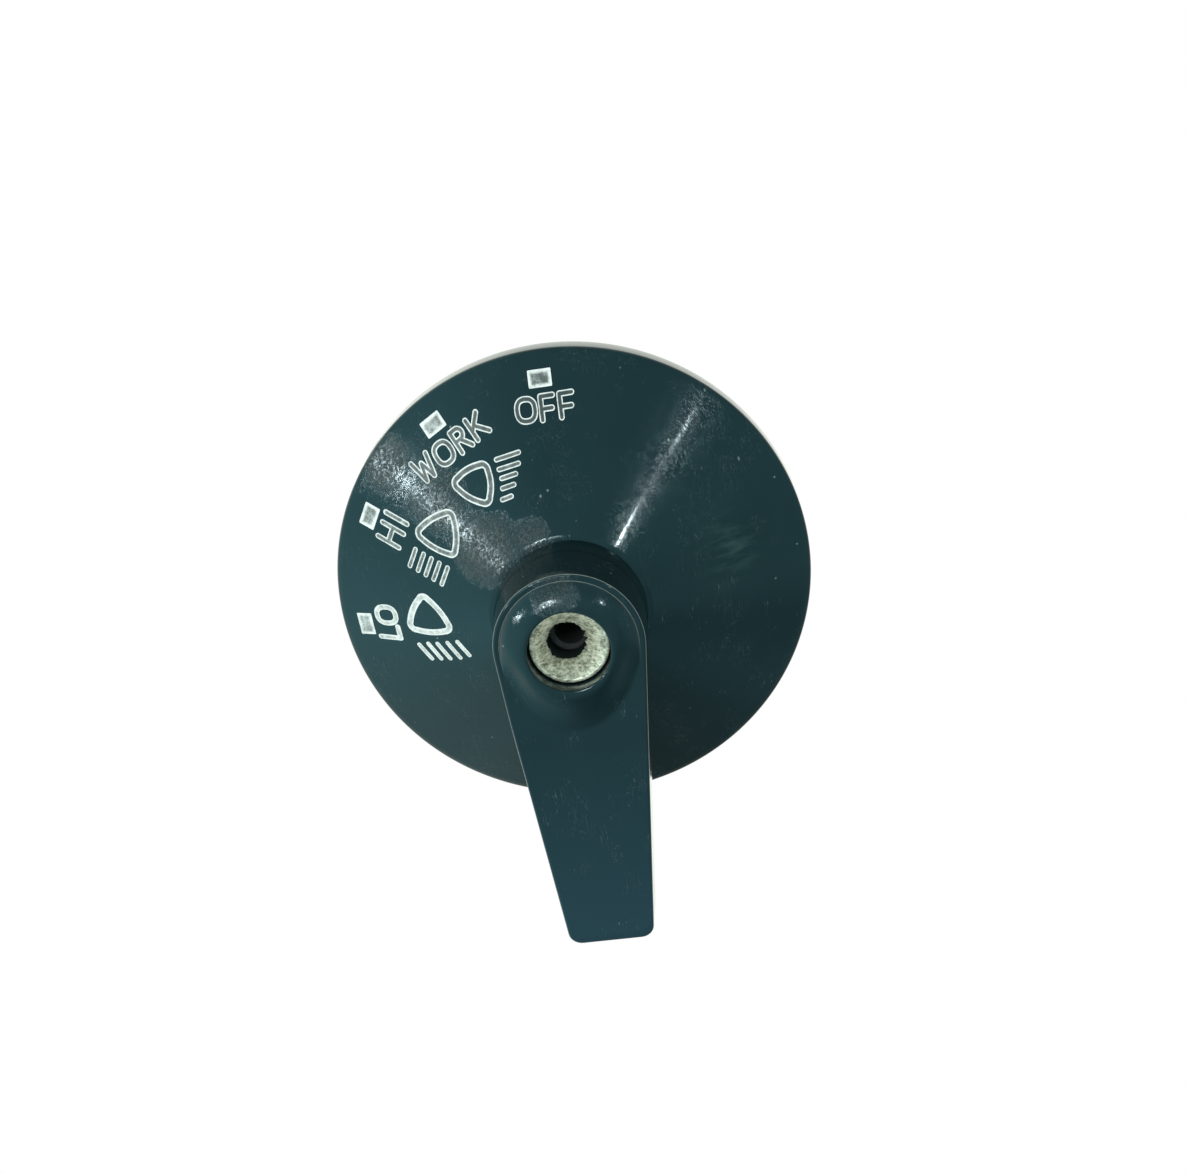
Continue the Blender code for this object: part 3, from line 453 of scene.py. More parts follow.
# Scuffs are where, how far they reach in millimetres and how strong. The dial's are worst beside OFF.
DIAL_SCUFFS = ((on_cone(13.5, 137), 8.0, 1.0), (on_cone(11.2, 112), 5.0, 0.80),
               (on_cone(21.5, 136), 8.0, 0.70), (on_cone(29.6, 139), 6.0, 0.95))
LEVER_SCUFFS = (((-1.0, 7.8, RECESS_RIM - 0.7), 6.2, 0.60),)
dial_plastic = moulded_plastic("dial_plastic", 0.0, DIAL_SCUFFS, smear=(on_cone(21.5, 12), 7.0))
lever_plastic = moulded_plastic("lever_plastic", 0.7, LEVER_SCUFFS, painted_sheen_from=0.06)
ink = printed_ink("marking_ink")
hub_metal = machined_hub("machined_hub")
# Painted shade: a near-black matt finish for the walls deep in the insert's hole.
painted_bore_shade = matt_moulding("painted_bore_shade", (0.020, 0.034, 0.033), (0.012, 0.022, 0.021), 0.80, specular=0.1)
# Painted shade: the steel shaft, seen down the hole, is coloured near-black and not metallic, standing in for
# the shade it sits in.
shaft_painted_shade = turned_metal("shaft_painted_shade", (0.026, 0.040, 0.038), (0.013, 0.021, 0.020), 0.70, metallic=0.0)
bright_steel = turned_metal("bright_steel", (0.66, 0.66, 0.63), (0.40, 0.40, 0.38), 0.30)
spring_steel = turned_metal("spring_steel", (0.42, 0.43, 0.45), (0.22, 0.23, 0.26), 0.34)
stamped_steel = pressed_sheet("stamped_steel", (0.56, 0.56, 0.54), (0.38, 0.38, 0.36), 0.40)
zinc_plate = turned_metal("zinc_plate", (0.64, 0.65, 0.63), (0.44, 0.45, 0.44), 0.36, tint=(0.62, 0.60, 0.46))
can_zinc = pressed_sheet("can_zinc", (0.66, 0.66, 0.62), (0.44, 0.45, 0.43), 0.38)
turned_brass = turned_metal("turned_brass", (0.78, 0.58, 0.27), (0.50, 0.34, 0.14), 0.30)
contact_brass = turned_metal("contact_brass", (0.80, 0.60, 0.30), (0.56, 0.38, 0.18), 0.32)
terminal_brass = turned_metal("terminal_brass", (0.72, 0.54, 0.27), (0.38, 0.26, 0.13), 0.38, mottle=0.8)
screw_brass = turned_metal("screw_brass", (0.80, 0.62, 0.32), (0.50, 0.36, 0.17), 0.30)
seal_rubber = matt_moulding("seal_rubber", (0.028, 0.028, 0.030), (0.014, 0.014, 0.015), 0.62)
nylon = matt_moulding("nylon", (0.72, 0.69, 0.60), (0.60, 0.56, 0.47), 0.50)
phenolic = matt_moulding("phenolic", (0.115, 0.058, 0.034), (0.060, 0.030, 0.018), 0.42, (0.22, 0.13, 0.08))


# --- dial
def dial_piece():
    """The cone with its rounded rim and well, the hollow behind it, four ribs and the locating pin's boss."""
    drop = DIAL_WALL * math.hypot(1, CONE_SLOPE)
    skirt_inner = DIAL_R - 2.0
    foot = (DIAL_R, 0.0)
    rim = rounded([(WELL_OUTER, cone_height(WELL_OUTER)), (DIAL_R - 0.02, SKIRT_HEIGHT), foot], 0.7, 8)
    cone = [(r, cone_height(r)) for r in np.linspace(WELL_OUTER + 0.5, rim[1][0] - 0.05, 40)]
    lip_end = WELL_OUTER + 0.4
    lip = rounded([(WELL_R, WELL_FLOOR), (WELL_R, cone_height(WELL_OUTER)), (lip_end, cone_height(lip_end))],
                  0.35, 6)
    hole = BUSHING_R + 0.3
    skirt_top, well_top = cone_height(skirt_inner) - drop, cone_height(WELL_OUTER) - drop
    hollow = rounded([(DIAL_R, 0.5), foot, (skirt_inner, 0.0), (skirt_inner, skirt_top), (WELL_OUTER, well_top),
                      (WELL_OUTER, 0.0), (hole, 0.0), (hole, WELL_FLOOR), (WELL_R - 0.1, WELL_FLOOR)], 0.3, 4)
    profile = lip + cone + rim[1:-1] + hollow[1:] + [(WELL_R, WELL_FLOOR)]
    shape = Shape()
    shape.turn(profile[::-1], 300)
    for angle in (45, 135, 225, 315):
        rib(shape, math.radians(angle), WELL_OUTER - 0.3, skirt_inner + 0.3, drop)
    pin_y, pin_hole, boss_r = 13.4, 1.5, 2.6
    roof, boss_end = cone_height(pin_y) - drop, cone_height(pin_y + boss_r) - drop + 0.6
    boss = rounded([(pin_hole, roof), (pin_hole, 0.0), (boss_r, 0.0), (boss_r, boss_end)], 0.3, 4)
    shape.turn([(pin_hole, roof)] + boss[1:-1] + [(boss_r, boss_end)], 48, (0.0, pin_y))
    shape.turn([(pin_hole, roof), (0.01, roof)], 48, (0.0, pin_y))
    shape.piece("dial_moulding", dial_plastic, "switch_body", "dial_plate", 28.0)


def rib(shape, angle, inner, outer, drop):
    """An upright rib under the cone with a rounded lower edge, its top buried in the cone's wall."""
    half, foot, round_r = 0.6, 0.6, 0.3
    c, s = math.cos(angle), math.sin(angle)
    section = [(-half, None), (-half, foot + round_r)]
    section += [(-half + round_r - round_r * math.cos(a), foot + round_r - round_r * math.sin(a))
                for a in np.linspace(0, math.pi / 2, 5)[1:]]
    section += [(-x, z) for x, z in reversed(section)]
    rings = []
    for radius in np.linspace(inner, outer, 12):
        top = cone_height(radius) - drop / 2
        ring = [(radius * c - x * s, radius * s + x * c, top if z is None else z) for x, z in section]
        rings.append(np.array(ring))
    shape.loft(rings)


# --- marks
def segment_distance(u, v, a, b):
    """Distance of each point (u, v) from the straight stroke a to b."""
    du, dv = b[0] - a[0], b[1] - a[1]
    share = np.clip(((u - a[0]) * du + (v - a[1]) * dv) / max(du * du + dv * dv, 1e-9), 0, 1)
    return np.hypot(u - a[0] - share * du, v - a[1] - share * dv)


def stroke_field(u, v, points, width):
    """Signed distance to a pen stroke along the points, negative inside."""
    field = np.full(u.shape, 1e3)
    for a, b in zip(points, points[1:]):
        field = np.minimum(field, segment_distance(u, v, a, b))
    return field - width / 2


def oval(centre, half_u, half_v, power=2.5, count=40):
    """A closed letter O, slightly squared."""
    points = []
    for angle in np.linspace(0, math.tau, count + 1):
        c, s = math.cos(angle), math.sin(angle)
        points.append((centre[0] + half_u * math.copysign(abs(c) ** (2 / power), c),
                       centre[1] + half_v * math.copysign(abs(s) ** (2 / power), s)))
    return points


def lamp_outline(circles, bulge=0.25, steps=10):
    """The closed line round three circles, its straight sides bowed a little outwards."""
    middle = np.mean([c[:2] for c in circles], axis=0)
    circles = sorted(circles, key=lambda c: math.atan2(c[1] - middle[1], c[0] - middle[0]))
    sides = []
    for (ax, ay, ar), (bx, by, br) in zip(circles, circles[1:] + circles[:1]):
        length = math.hypot(bx - ax, by - ay)
        heading = math.atan2(by - ay, bx - ax) - math.pi / 2 + math.asin((br - ar) / length)
        sides.append(heading)
    points = []
    for i, (x, y, r) in enumerate(circles):
        start, stop = sides[i - 1], sides[i]
        stop = start + (stop - start) % math.tau
        for angle in np.linspace(start, stop, steps):
            points.append((x + r * math.cos(angle), y + r * math.sin(angle)))
        nx, ny, nr = circles[(i + 1) % 3]
        end = (nx + nr * math.cos(sides[i]), ny + nr * math.sin(sides[i]))
        first = points[-1]
        out = (math.cos(sides[i]), math.sin(sides[i]))
        for share in np.linspace(0, 1, 12)[1:-1]:
            lift = bulge * 4 * share * (1 - share)
            points.append((first[0] + (end[0] - first[0]) * share + out[0] * lift,
                           first[1] + (end[1] - first[1]) * share + out[1] * lift))
    return points + points[:1]


LETTER_PEN = 0.73
LAMP_PEN = 0.86
BEAM_PEN = 0.62
BEAM_END = BEAM_PEN / 2
O_HALF = (1.17, 1.27)


def letter_f(stem, top_end, middle_end, middle_v):
    return [[(stem, 23.6), (stem, 26.3), (top_end, 26.3)], [(stem, middle_v), (middle_end, middle_v)]]


def bowl(stem, right, top, bottom):
    """The rounded part of the letter R."""
    radius = (top - bottom) / 2
    centre = (right - radius, (top + bottom) / 2)
    turn = [(centre[0] + radius * math.cos(a), centre[1] + radius * math.sin(a))
            for a in np.linspace(math.pi / 2, -math.pi / 2, 10)]
    return [(stem, top)] + turn + [(stem, bottom)]


OFF_WORD = [oval((-2.27, 24.95), *O_HALF)] + letter_f(-0.27, 1.3, 1.1, 24.85) + letter_f(2.2, 3.8, 3.6, 24.8)
WORK_WORD = [
    [(-5.55, 26.3), (-4.95, 23.6), (-4.3, 25.6), (-3.65, 23.6), (-3.05, 26.3)],
    oval((-0.95, 24.95), *O_HALF),
    [(1.15, 23.6), (1.15, 26.3)],
    bowl(1.15, 2.6, 26.3, 25.0),
    [(1.9, 25.0), (2.87, 23.6)],
    [(3.77, 23.6), (3.77, 26.3)],
    [(3.77, 24.7), (5.5, 26.3)],
    [(4.35, 25.2), (5.72, 23.6)],
]
HI_WORD = [[(u, 23.45), (u, 26.5)] for u in (-1.9, 0.12, 1.56)] + [[(-1.9, 25.0), (0.12, 25.0)]]
LO_WORD = [[(-1.84, 26.65), (-2.02, 23.83), (-0.38, 23.85)], oval((1.3, 25.1), 1.15, 1.33)]

WORK_LAMP = [(-1.4, 20.95, 0.7), (2.0, 20.5, 0.75), (0.3, 18.0, 0.75)]
HI_LAMP = [(1.6, 21.0, 0.75), (1.55, 17.2, 0.7), (5.0, 18.7, 0.7)]
LO_LAMP = [(0.1, 21.15, 0.77), (0.05, 17.2, 0.8), (3.35, 19.15, 0.7)]
WORK_BEAM = [
    [(4.02, 20.54), (7.49, 19.3)], [(3.6, 19.46), (6.7, 18.32)], [(3.25, 18.46), (5.68, 17.61)],
    [(2.61, 17.49), (4.73, 16.8)], [(1.8, 16.48), (3.62, 15.97)],
]
HI_BEAM = [[(-0.6, v), (-3.7, v)] for v in (21.35, 20.16, 19.03, 17.9, 16.73)]
LO_BEAM = [
    [(-2.62, 21.53), (-5.21, 19.94)], [(-2.43, 20.17), (-5.15, 18.62)], [(-2.38, 18.85), (-5.09, 17.31)],
    [(-2.19, 17.39), (-4.9, 15.85)], [(-2.0, 15.94), (-4.46, 14.46)],
]
SQUARE_CENTRE = (-0.05, 28.38)
SQUARE_HALF = (1.525, 1.05)
SQUARE_CORNER = 0.12
SQUARE_INSET = 0.9


def shortened(stroke, amount):
    """A two-point stroke with its ends drawn in, so that the pen's round ends stop where the stroke should."""
    a, b = Vector(stroke[0]), Vector(stroke[1])
    step = (b - a).normalized() * amount
    return [tuple(a + step), tuple(b - step)]


def mark_field(u, v, word, lamp, beam):
    """Signed distance to the whole mark, and the largest half width there, for the wear."""
    box_u = np.abs(u - SQUARE_CENTRE[0]) - SQUARE_HALF[0] + SQUARE_CORNER
    box_v = np.abs(v - SQUARE_CENTRE[1]) - SQUARE_HALF[1] + SQUARE_CORNER
    outside = np.hypot(np.maximum(box_u, 0), np.maximum(box_v, 0))
    square = outside + np.minimum(np.maximum(box_u, box_v), 0) - SQUARE_CORNER
    parts = [(square, SQUARE_INSET)]
    parts += [(stroke_field(u, v, stroke, LETTER_PEN), LETTER_PEN / 2) for stroke in word]
    if lamp:
        parts.append((stroke_field(u, v, lamp_outline(lamp), LAMP_PEN), LAMP_PEN / 2))
        parts += [(stroke_field(u, v, shortened(s, BEAM_END), BEAM_PEN), BEAM_PEN / 2) for s in beam]
    field = np.full(u.shape, 1e3)
    half = np.full(u.shape, 1.0)
    for part, part_half in parts:
        closer = part < field
        field = np.where(closer, part, field)
        half = np.where(closer, part_half, half)
    return field, half


def mark_piece(name, angle, wear, square_wear, word, lamp=None, beam=()):
    """A mark lying on the cone: a fine grid trimmed to the strokes, its border drawn onto their outline."""
    step, lift = 0.065, 0.018
    wide = 8.2 if lamp else 5.6
    low_v = 13.6 if lamp else 22.6
    us = np.arange(-wide, wide, step)
    vs = np.arange(low_v, SQUARE_CENTRE[1] + SQUARE_HALF[1] + 4 * step, step)
    u, v = np.meshgrid(us, vs, indexing="ij")
    field, half = mark_field(u, v, word, lamp, beam)
    centre = (field[:-1, :-1] + field[1:, :-1] + field[1:, 1:] + field[:-1, 1:]) / 4
    kept = centre < 0
    gone = np.zeros(u.shape, bool)
    for i, j in ((0, 0), (1, 0), (1, 1), (0, 1)):
        corner = gone[i:i + kept.shape[0], j:j + kept.shape[1]]
        corner |= ~kept
    slope_u, slope_v = np.gradient(field, step)
    size = np.maximum(slope_u ** 2 + slope_v ** 2, 0.2)
    shift = np.where(gone, np.clip(field, -step, step) / size, 0.0)
    u, v = u - shift * slope_u, v - shift * slope_v
    turn = math.radians(90 + MARKS_TURN + angle)
    right = (math.sin(turn), -math.cos(turn))
    out = (math.cos(turn), math.sin(turn))
    x, y = u * right[0] + v * out[0], u * right[1] + v * out[1]
    radius = np.hypot(x, y)
    normal = 1 / math.hypot(1, CONE_SLOPE)
    x, y = x + x / radius * CONE_SLOPE * normal * lift, y + y / radius * CONE_SLOPE * normal * lift
    z = cone_height(radius) + normal * lift
    index = np.arange(u.size).reshape(u.shape)
    quads = np.stack([index[:-1, :-1], index[1:, :-1], index[1:, 1:], index[:-1, 1:]], axis=-1)[kept]
    quads = quads[:, ::-1]
    used, faces = np.unique(quads, return_inverse=True)
    points = np.stack([x.ravel(), y.ravel(), z.ravel()], axis=1)[used]
    inset = np.clip(-field / half, 0, 1).ravel()[used]
    obj = add_piece(name, points, faces.reshape(-1, 4), ink, "switch_body")
    in_square = (half == SQUARE_INSET).ravel()[used]
    for key, values in (("inset", inset), ("wear", np.where(in_square, square_wear, wear))):
        layer = obj.data.attributes.new(key, "FLOAT", "POINT")
        layer.data.foreach_set("value", values.astype(np.float32))


# --- lever
BOSS_STEPS = 132
SIDE_STEPS = 60
CORNER_STEPS = 8
TIP_STEPS = 12
CORNER_Y = ARM_LENGTH - ARM_CORNER_R
CORNER_X = (BOSS_TOP_R - ARM_CORNER_R - CORNER_Y * math.sin(ARM_TAPER)) / math.cos(ARM_TAPER)
DOME_FOOT_R = 8.72
DOME_REACH = 11.7
RIM_ROUND = 0.22
RIM_RINGS = 7
DOME_RINGS = 40
SHOULDER_RINGS = 29
EDGE_RINGS = 5
SIDE_RINGS = 14
BOTTOM_ROUND = 0.3
POCKETS = ((13.0, 19.0), (20.6, 26.6), (28.2, 34.2), (35.8, 41.8))  # from and to, below the shaft


def lever_outline(offset):
    """The lever in plan, drawn in by offset, counter-clockwise from its right. Always as many points."""
    radius = BOSS_TOP_R - offset
    angles = np.linspace(-ARM_TAPER, math.pi + ARM_TAPER, BOSS_STEPS)
    boss = np.stack([radius * np.cos(angles), radius * np.sin(angles)], axis=1)
    corner = ARM_CORNER_R - offset
    turns = np.linspace(-ARM_TAPER, -math.pi / 2, CORNER_STEPS)
    right_corner = np.stack([CORNER_X + corner * np.cos(turns), -CORNER_Y + corner * np.sin(turns)], axis=1)
    share = np.linspace(0, 1, SIDE_STEPS)[1:-1, None]
    right_side = boss[0] * (1 - share) + right_corner[0] * share
    tip = np.linspace(1, -1, TIP_STEPS)[1:-1]
    tip = np.stack([CORNER_X * tip, np.full(len(tip), -CORNER_Y - corner)], axis=1)
    right = np.concatenate([right_side, right_corner])
    return np.concatenate([boss, right * (-1, 1), tip[::-1], right[::-1]])


def outline_bearings():
    """For each outline point, the polar angle of the point on the dome's foot that it is joined to."""
    boss = np.linspace(-ARM_TAPER, math.pi + ARM_TAPER, BOSS_STEPS)
    side = 0.09 + 0.91 * (1 - np.linspace(0, 1, SIDE_STEPS)[1:-1]) ** 3
    corner = np.linspace(0.09, 0.05, CORNER_STEPS)
    reach = math.pi / 2 - ARM_TAPER
    right = np.concatenate([side, corner]) * reach
    tip = np.linspace(-0.05, 0.05, TIP_STEPS)[1:-1] * reach
    return np.concatenate([boss, 1.5 * math.pi - right, 1.5 * math.pi + tip, 1.5 * math.pi + right[::-1]])


def arm_top(y):
    """Height of the lever's shoulder and arm, level over the boss and easing into a slope to the tip."""
    slope = (BOSS_TOP - ARM_TIP_TOP) / (ARM_LENGTH - BOSS_TOP_R)
    ease = 0.9
    past = -np.asarray(y, float) - BOSS_TOP_R
    return BOSS_TOP - slope * ease * np.logaddexp(0, past / ease)


def arm_bottom(y):
    distance = np.maximum(0, -np.asarray(y, float) - BOSS_TOP_R) / (ARM_LENGTH - BOSS_TOP_R)
    return arm_top(y) - ARM_ROOT_DEPTH + (ARM_ROOT_DEPTH - ARM_TIP_DEPTH) * np.clip(distance, 0, 1)


def crown_rings(bearings, northness):
    """The lever's top: the recess's rounded rim, the dome to its foot, and the level from there to the edge."""
    across, up = np.cos(bearings), np.sin(bearings)
    unit = np.stack([across, up], axis=1)
    stretch = np.where(up < 0, DOME_REACH, DOME_FOOT_R)
    foot_r = 1 / np.sqrt((across / DOME_FOOT_R) ** 2 + (up / stretch) ** 2)
    rings = []
    rim_r = RECESS_R + RIM_ROUND
    for turn in np.linspace(math.pi, math.pi / 2, RIM_RINGS):
        z = RECESS_RIM - RIM_ROUND + RIM_ROUND * math.sin(turn)
        rings.append(at_height(unit * (rim_r + RIM_ROUND * math.cos(turn)), z))
    for share in np.linspace(0, 1, DOME_RINGS)[1:]:
        radius = rim_r + (foot_r - rim_r) * share
        plan = unit * radius[:, None]
        base = arm_top(plan[:, 1])
        crisp = (1 - share ** 1.8) ** 0.85
        gentle = 0.5 + 0.5 * math.cos(math.pi * share ** 0.92)
        lift = crisp * northness + gentle * (1 - northness)
        rings.append(at_height(plan, base + (RECESS_RIM - base) * lift))
    foot, edge = unit * foot_r[:, None], lever_outline(EDGE_R)
    for share in np.linspace(0, 1, SHOULDER_RINGS + 1)[1:]:
        plan = foot * (1 - share) + edge * share
        rings.append(at_height(plan, arm_top(plan[:, 1])))
    return rings


def side_rings():
    """The rounded upper edge and the drafted sides, down to where the lower edge starts to round."""
    rings = []
    for turn in np.linspace(0, math.pi / 2, EDGE_RINGS + 1)[1:]:
        plan = lever_outline(EDGE_R * (1 - math.sin(turn)))
        rings.append(at_height(plan, arm_top(plan[:, 1]) - EDGE_R * (1 - math.cos(turn))))
    y = lever_outline(0.0)[:, 1]
    high = arm_top(y) - EDGE_R
    low = np.where(y > -0.5, arm_bottom(0.0), arm_bottom(y) + BOTTOM_ROUND)
    for level in np.linspace(0, 1, SIDE_RINGS + 1)[1:]:
        z = high + (low - high) * level
        rings.append(at_height(lever_outline(-DRAFT * (high - z).mean()), z))
    return rings


def lever_piece():
    """The handle: domed boss with a shoulder, sloping arm with rounded edges, spigot and pockets."""
    bearings = outline_bearings()
    northness = np.clip((np.sin(bearings) + 0.55) / 0.75, 0, 1)
    northness = northness * northness * (3 - 2 * northness)
    rings = crown_rings(bearings, northness) + side_rings()
    shape = Shape()
    shape.loft([ring[::-1] for ring in rings])
    arm_underside(shape, rings[-1])
    drum(shape)
    shape.turn([(RECESS_R, z) for z in np.linspace(SPIGOT_END, RECESS_RIM - RIM_ROUND, 8)][::-1], 120)
    obj = shape.piece("lever_handle", lever_plastic, "lever_group", "lever", 24.0)
    count = len(bearings)
    edge, dome_foot = len(rings) - SIDE_RINGS - 2, RIM_RINGS + DOME_RINGS - 2
    # Painted highlights: a bright line on the lever's rounded top edge, and one on the dome's foot fading away
    # from the north side, standing in for reflections there.
    edge_highlight = np.zeros(len(obj.data.vertices), np.float32)
    edge_highlight[edge * count:(edge + 1) * count] = 1.0
    edge_highlight[dome_foot * count:(dome_foot + 1) * count] = northness[::-1] ** 2
    obj.data.attributes.new("edge_highlight", "FLOAT", "POINT").data.foreach_set("value", edge_highlight)


def arm_underside(shape, last):
    """The arm's lower edge rounding, its floor, and the cored pockets between a middle rib and cross ribs."""
    side_count = SIDE_STEPS - 2 + CORNER_STEPS
    left = last[BOSS_STEPS:BOSS_STEPS + side_count]
    right = last[::-1][:side_count]
    on_arm = right[:, 1] < -BOSS_TOP_R * 0.86
    left, right = left[on_arm], right[on_arm]
    whole = np.concatenate([left, last[BOSS_STEPS + side_count:-side_count], right[::-1]])
    rings = []
    for turn in np.linspace(0, math.pi / 2, 5):
        draw_in = BOTTOM_ROUND * (1 - math.cos(turn))
        ring = whole.copy()
        ring[:, 0] -= np.sign(ring[:, 0]) * np.minimum(np.abs(ring[:, 0]), draw_in)
        ring[:, 1] = np.maximum(ring[:, 1], whole[:, 1].min() + draw_in)
        ring[:, 2] -= BOTTOM_ROUND * math.sin(turn)
        rings.append(ring)
    shape.loft([ring[::-1] for ring in rings], closed=False)
    floor = rings[-1][::-1][:len(right)]
    rib_half, wall = 0.7, 1.7
    ys = -floor[:, 1]
    breaks = {edge for span in POCKETS for edge in span}
    rows = []
    for distance in sorted(breaks | set(np.round(ys, 6))):
        half, z = np.interp(distance, ys, floor[:, 0]), np.interp(distance, ys, floor[:, 2])
        side = min(half - 0.05, max(rib_half + 0.2, half + BOTTOM_ROUND - wall))
        if distance > CORNER_Y - 0.5:
            side = min(half * 0.9, rows[-1][1][1])
        rows.append((distance, [half, side, rib_half, 0], z))
    for (near, near_x, near_z), (far, far_x, far_z) in zip(rows, rows[1:]):
        in_pocket = any(low < (near + far) / 2 < high for low, high in POCKETS)
        for sign in (1, -1):
            for a, b in ((0, 1), (2, 3)) if in_pocket else ((0, 1), (1, 2), (2, 3)):
                quad = [(sign * near_x[a], -near, near_z), (sign * far_x[a], -far, far_z),
                        (sign * far_x[b], -far, far_z), (sign * near_x[b], -near, near_z)]
                shape.add(quad, [(0, 1, 2, 3)[::sign]])
    for low, high in POCKETS:
        pocket(shape, [row for row in rows if low - 1e-6 <= row[0] <= high + 1e-6])


def pocket(shape, spans):
    """A pair of pockets with drafted walls, one each side of the middle rib."""
    draft, roof_gap = 0.12, 1.7
    for sign in (1, -1):
        outer, inner = [[(sign * x[side], -d, z) for d, x, z in spans] for side in (1, 2)]
        mouth = np.array(outer + inner[::-1])
        roof = mouth.copy()
        roof[:, :2] -= np.sign(roof[:, :2] - mouth[:, :2].mean(axis=0)) * draft
        roof[:, 2] = arm_top(roof[:, 1]) - roof_gap
        rings = [ring[::-sign] for ring in (mouth, mouth * 0.5 + roof * 0.5, roof)]
        shape.loft(rings)
        shape.add(rings[-1], [tuple(range(len(mouth)))[::-1]])


def drum(shape):
    """The boss below the arm, its rounded foot, and the spigot in the dial's well."""
    seat = cone_height(WELL_OUTER) + 0.35
    arm_foot = float(arm_bottom(0.0))
    top_r = BOSS_TOP_R + DRAFT * (BOSS_TOP - EDGE_R - arm_foot)
    profile = rounded([(top_r, arm_foot), (BOSS_FOOT_R, seat), (SPIGOT_R, seat), (SPIGOT_R, SPIGOT_END),
                       (RECESS_R, SPIGOT_END)], 0.25, 5)
    shape.turn(profile[::-1], 192)


# --- insert
# The burrs and chips on the hole's edge: bearing in radians, height in millimetres, spread in radians.
BURRS = ((0.38, 0.26, 0.07), (0.18, -0.22, 0.06), (0.02, 0.16, 0.05), (-0.16, -0.26, 0.07),
         (-0.36, 0.14, 0.06), (3.85, 0.22, 0.09), (4.15, 0.14, 0.06), (2.75, -0.10, 0.12))


def insert_piece():
    """The metal hub: a flat lip, a chattered funnel and a screw hole worn off centre, with burrs round it."""
    top, outer = INSERT_HIGH[2], INSERT_HIGH[0]
    foot = INSERT_LOW[2]
    hole_r, bore_r, funnel_r, funnel_foot = 2.41, 3.4, outer - 0.42, top - 2.6
    worn_to = (-0.45, -0.30)  # how far the hole is worn off the shaft's axis
    sides = 300
    angles = np.linspace(0, math.tau, sides, endpoint=False)
    chatter = 0.035 * np.sin(19 * angles) + 0.03 * np.sin(31 * angles + 1.0) + 0.02 * np.sin(53 * angles)
    burr = 0.04 * np.cos(6 * angles + 0.4)
    for bearing, size, spread in BURRS:
        gap = (angles - bearing + math.pi) % math.tau - math.pi
        burr += size * np.exp(-(gap / spread) ** 2)
    rings = []

    def ring(radius, z, shift=0.0):
        rings.append(circle(angles, radius, z, (worn_to[0] * shift, worn_to[1] * shift)))

    for radius, z in ((bore_r, foot), (outer - 0.3, foot), (outer, foot + 0.3), (outer, top - 0.15),
                      (outer - 0.05, top - 0.05), (outer - 0.15, top), (funnel_r + 0.02 + chatter * 0.4, top),
                      (funnel_r - 0.06 + chatter * 0.5, top - 0.03)):
        ring(radius, z)
    for share in np.linspace(0, 1, 18)[1:]:
        radius = funnel_r + (hole_r + 0.06 - funnel_r) * share ** 0.92
        wobble = chatter * (0.6 + 0.7 * math.sin(share * 9)) + burr * share ** 3
        ring(radius + wobble, top - 0.06 - (top - funnel_foot - 0.06) * share ** 1.15, share)
    metal_rings = len(rings)
    for depth, share in ((0.12, 0.95), (0.4, 0.7), (1.0, 0.4), (2.0, 0.2), (2.6, 0.1)):
        ring(hole_r + 0.05 + burr * share, funnel_foot - depth, 1.0)
    ring(bore_r, funnel_foot - 2.75)
    ring(bore_r, foot)
    shape = Shape()
    shape.loft(rings)
    obj = shape.piece("hub_insert", hub_metal, "lever_group", "lever_insert", 40.0)
    # Painted shade: the walls below the funnel take the near-black matt finish instead of metal, for the dark
    # deep in the hole.
    obj.data.materials.append(painted_bore_shade)
    for face in obj.data.polygons:
        if face.index >= (metal_rings - 1) * sides:
            face.material_index = 1


# --- rear pieces
def bushing_piece():
    """A helical thread along the barrel, a flange inside the can, a bore and a pocket for the seal."""
    pitch, depth, per_pitch, sides = 0.794, 0.42, 12, 96
    top, bottom = BUSHING_HIGH[2], BUSHING_LOW[2]
    flange_top, flange_r = bottom + 1.5, BUSHING_HIGH[0]
    bore, pocket_r, pocket_floor = 3.235, 4.15, top - 1.9
    angles = np.linspace(0, math.tau, sides, endpoint=False)
    above = ((pocket_r, pocket_floor), (pocket_r, top - 0.1), (pocket_r + 0.1, top), (BUSHING_R - 0.45, top))
    below = ((BUSHING_R - 0.2, flange_top), (flange_r - 0.15, flange_top), (flange_r, flange_top - 0.15),
             (flange_r, bottom + 0.15), (flange_r - 0.15, bottom), (bore, bottom), (bore, pocket_floor),
             (pocket_r, pocket_floor))
    rings = [circle(angles, radius, z) for radius, z in above]
    for z in np.arange(top - 0.1, flange_top, -pitch / per_pitch):
        phase = (z / pitch - angles / math.tau) % 1.0
        wave = np.abs(phase - 0.5) * 2
        thread = BUSHING_R - depth * np.clip((wave - 0.10) / 0.80, 0, 1)
        rings.append(circle(angles, np.minimum(thread, BUSHING_R - 0.45 + (top - z)), z))
    rings += [circle(angles, radius, z) for radius, z in below]
    shape = Shape()
    shape.loft([ring[::-1] for ring in rings])
    shape.piece("bushing_barrel", turned_brass, "switch_body", "threaded_bushing", 50.0)


TAB_ANGLES = (23, 143, 263)


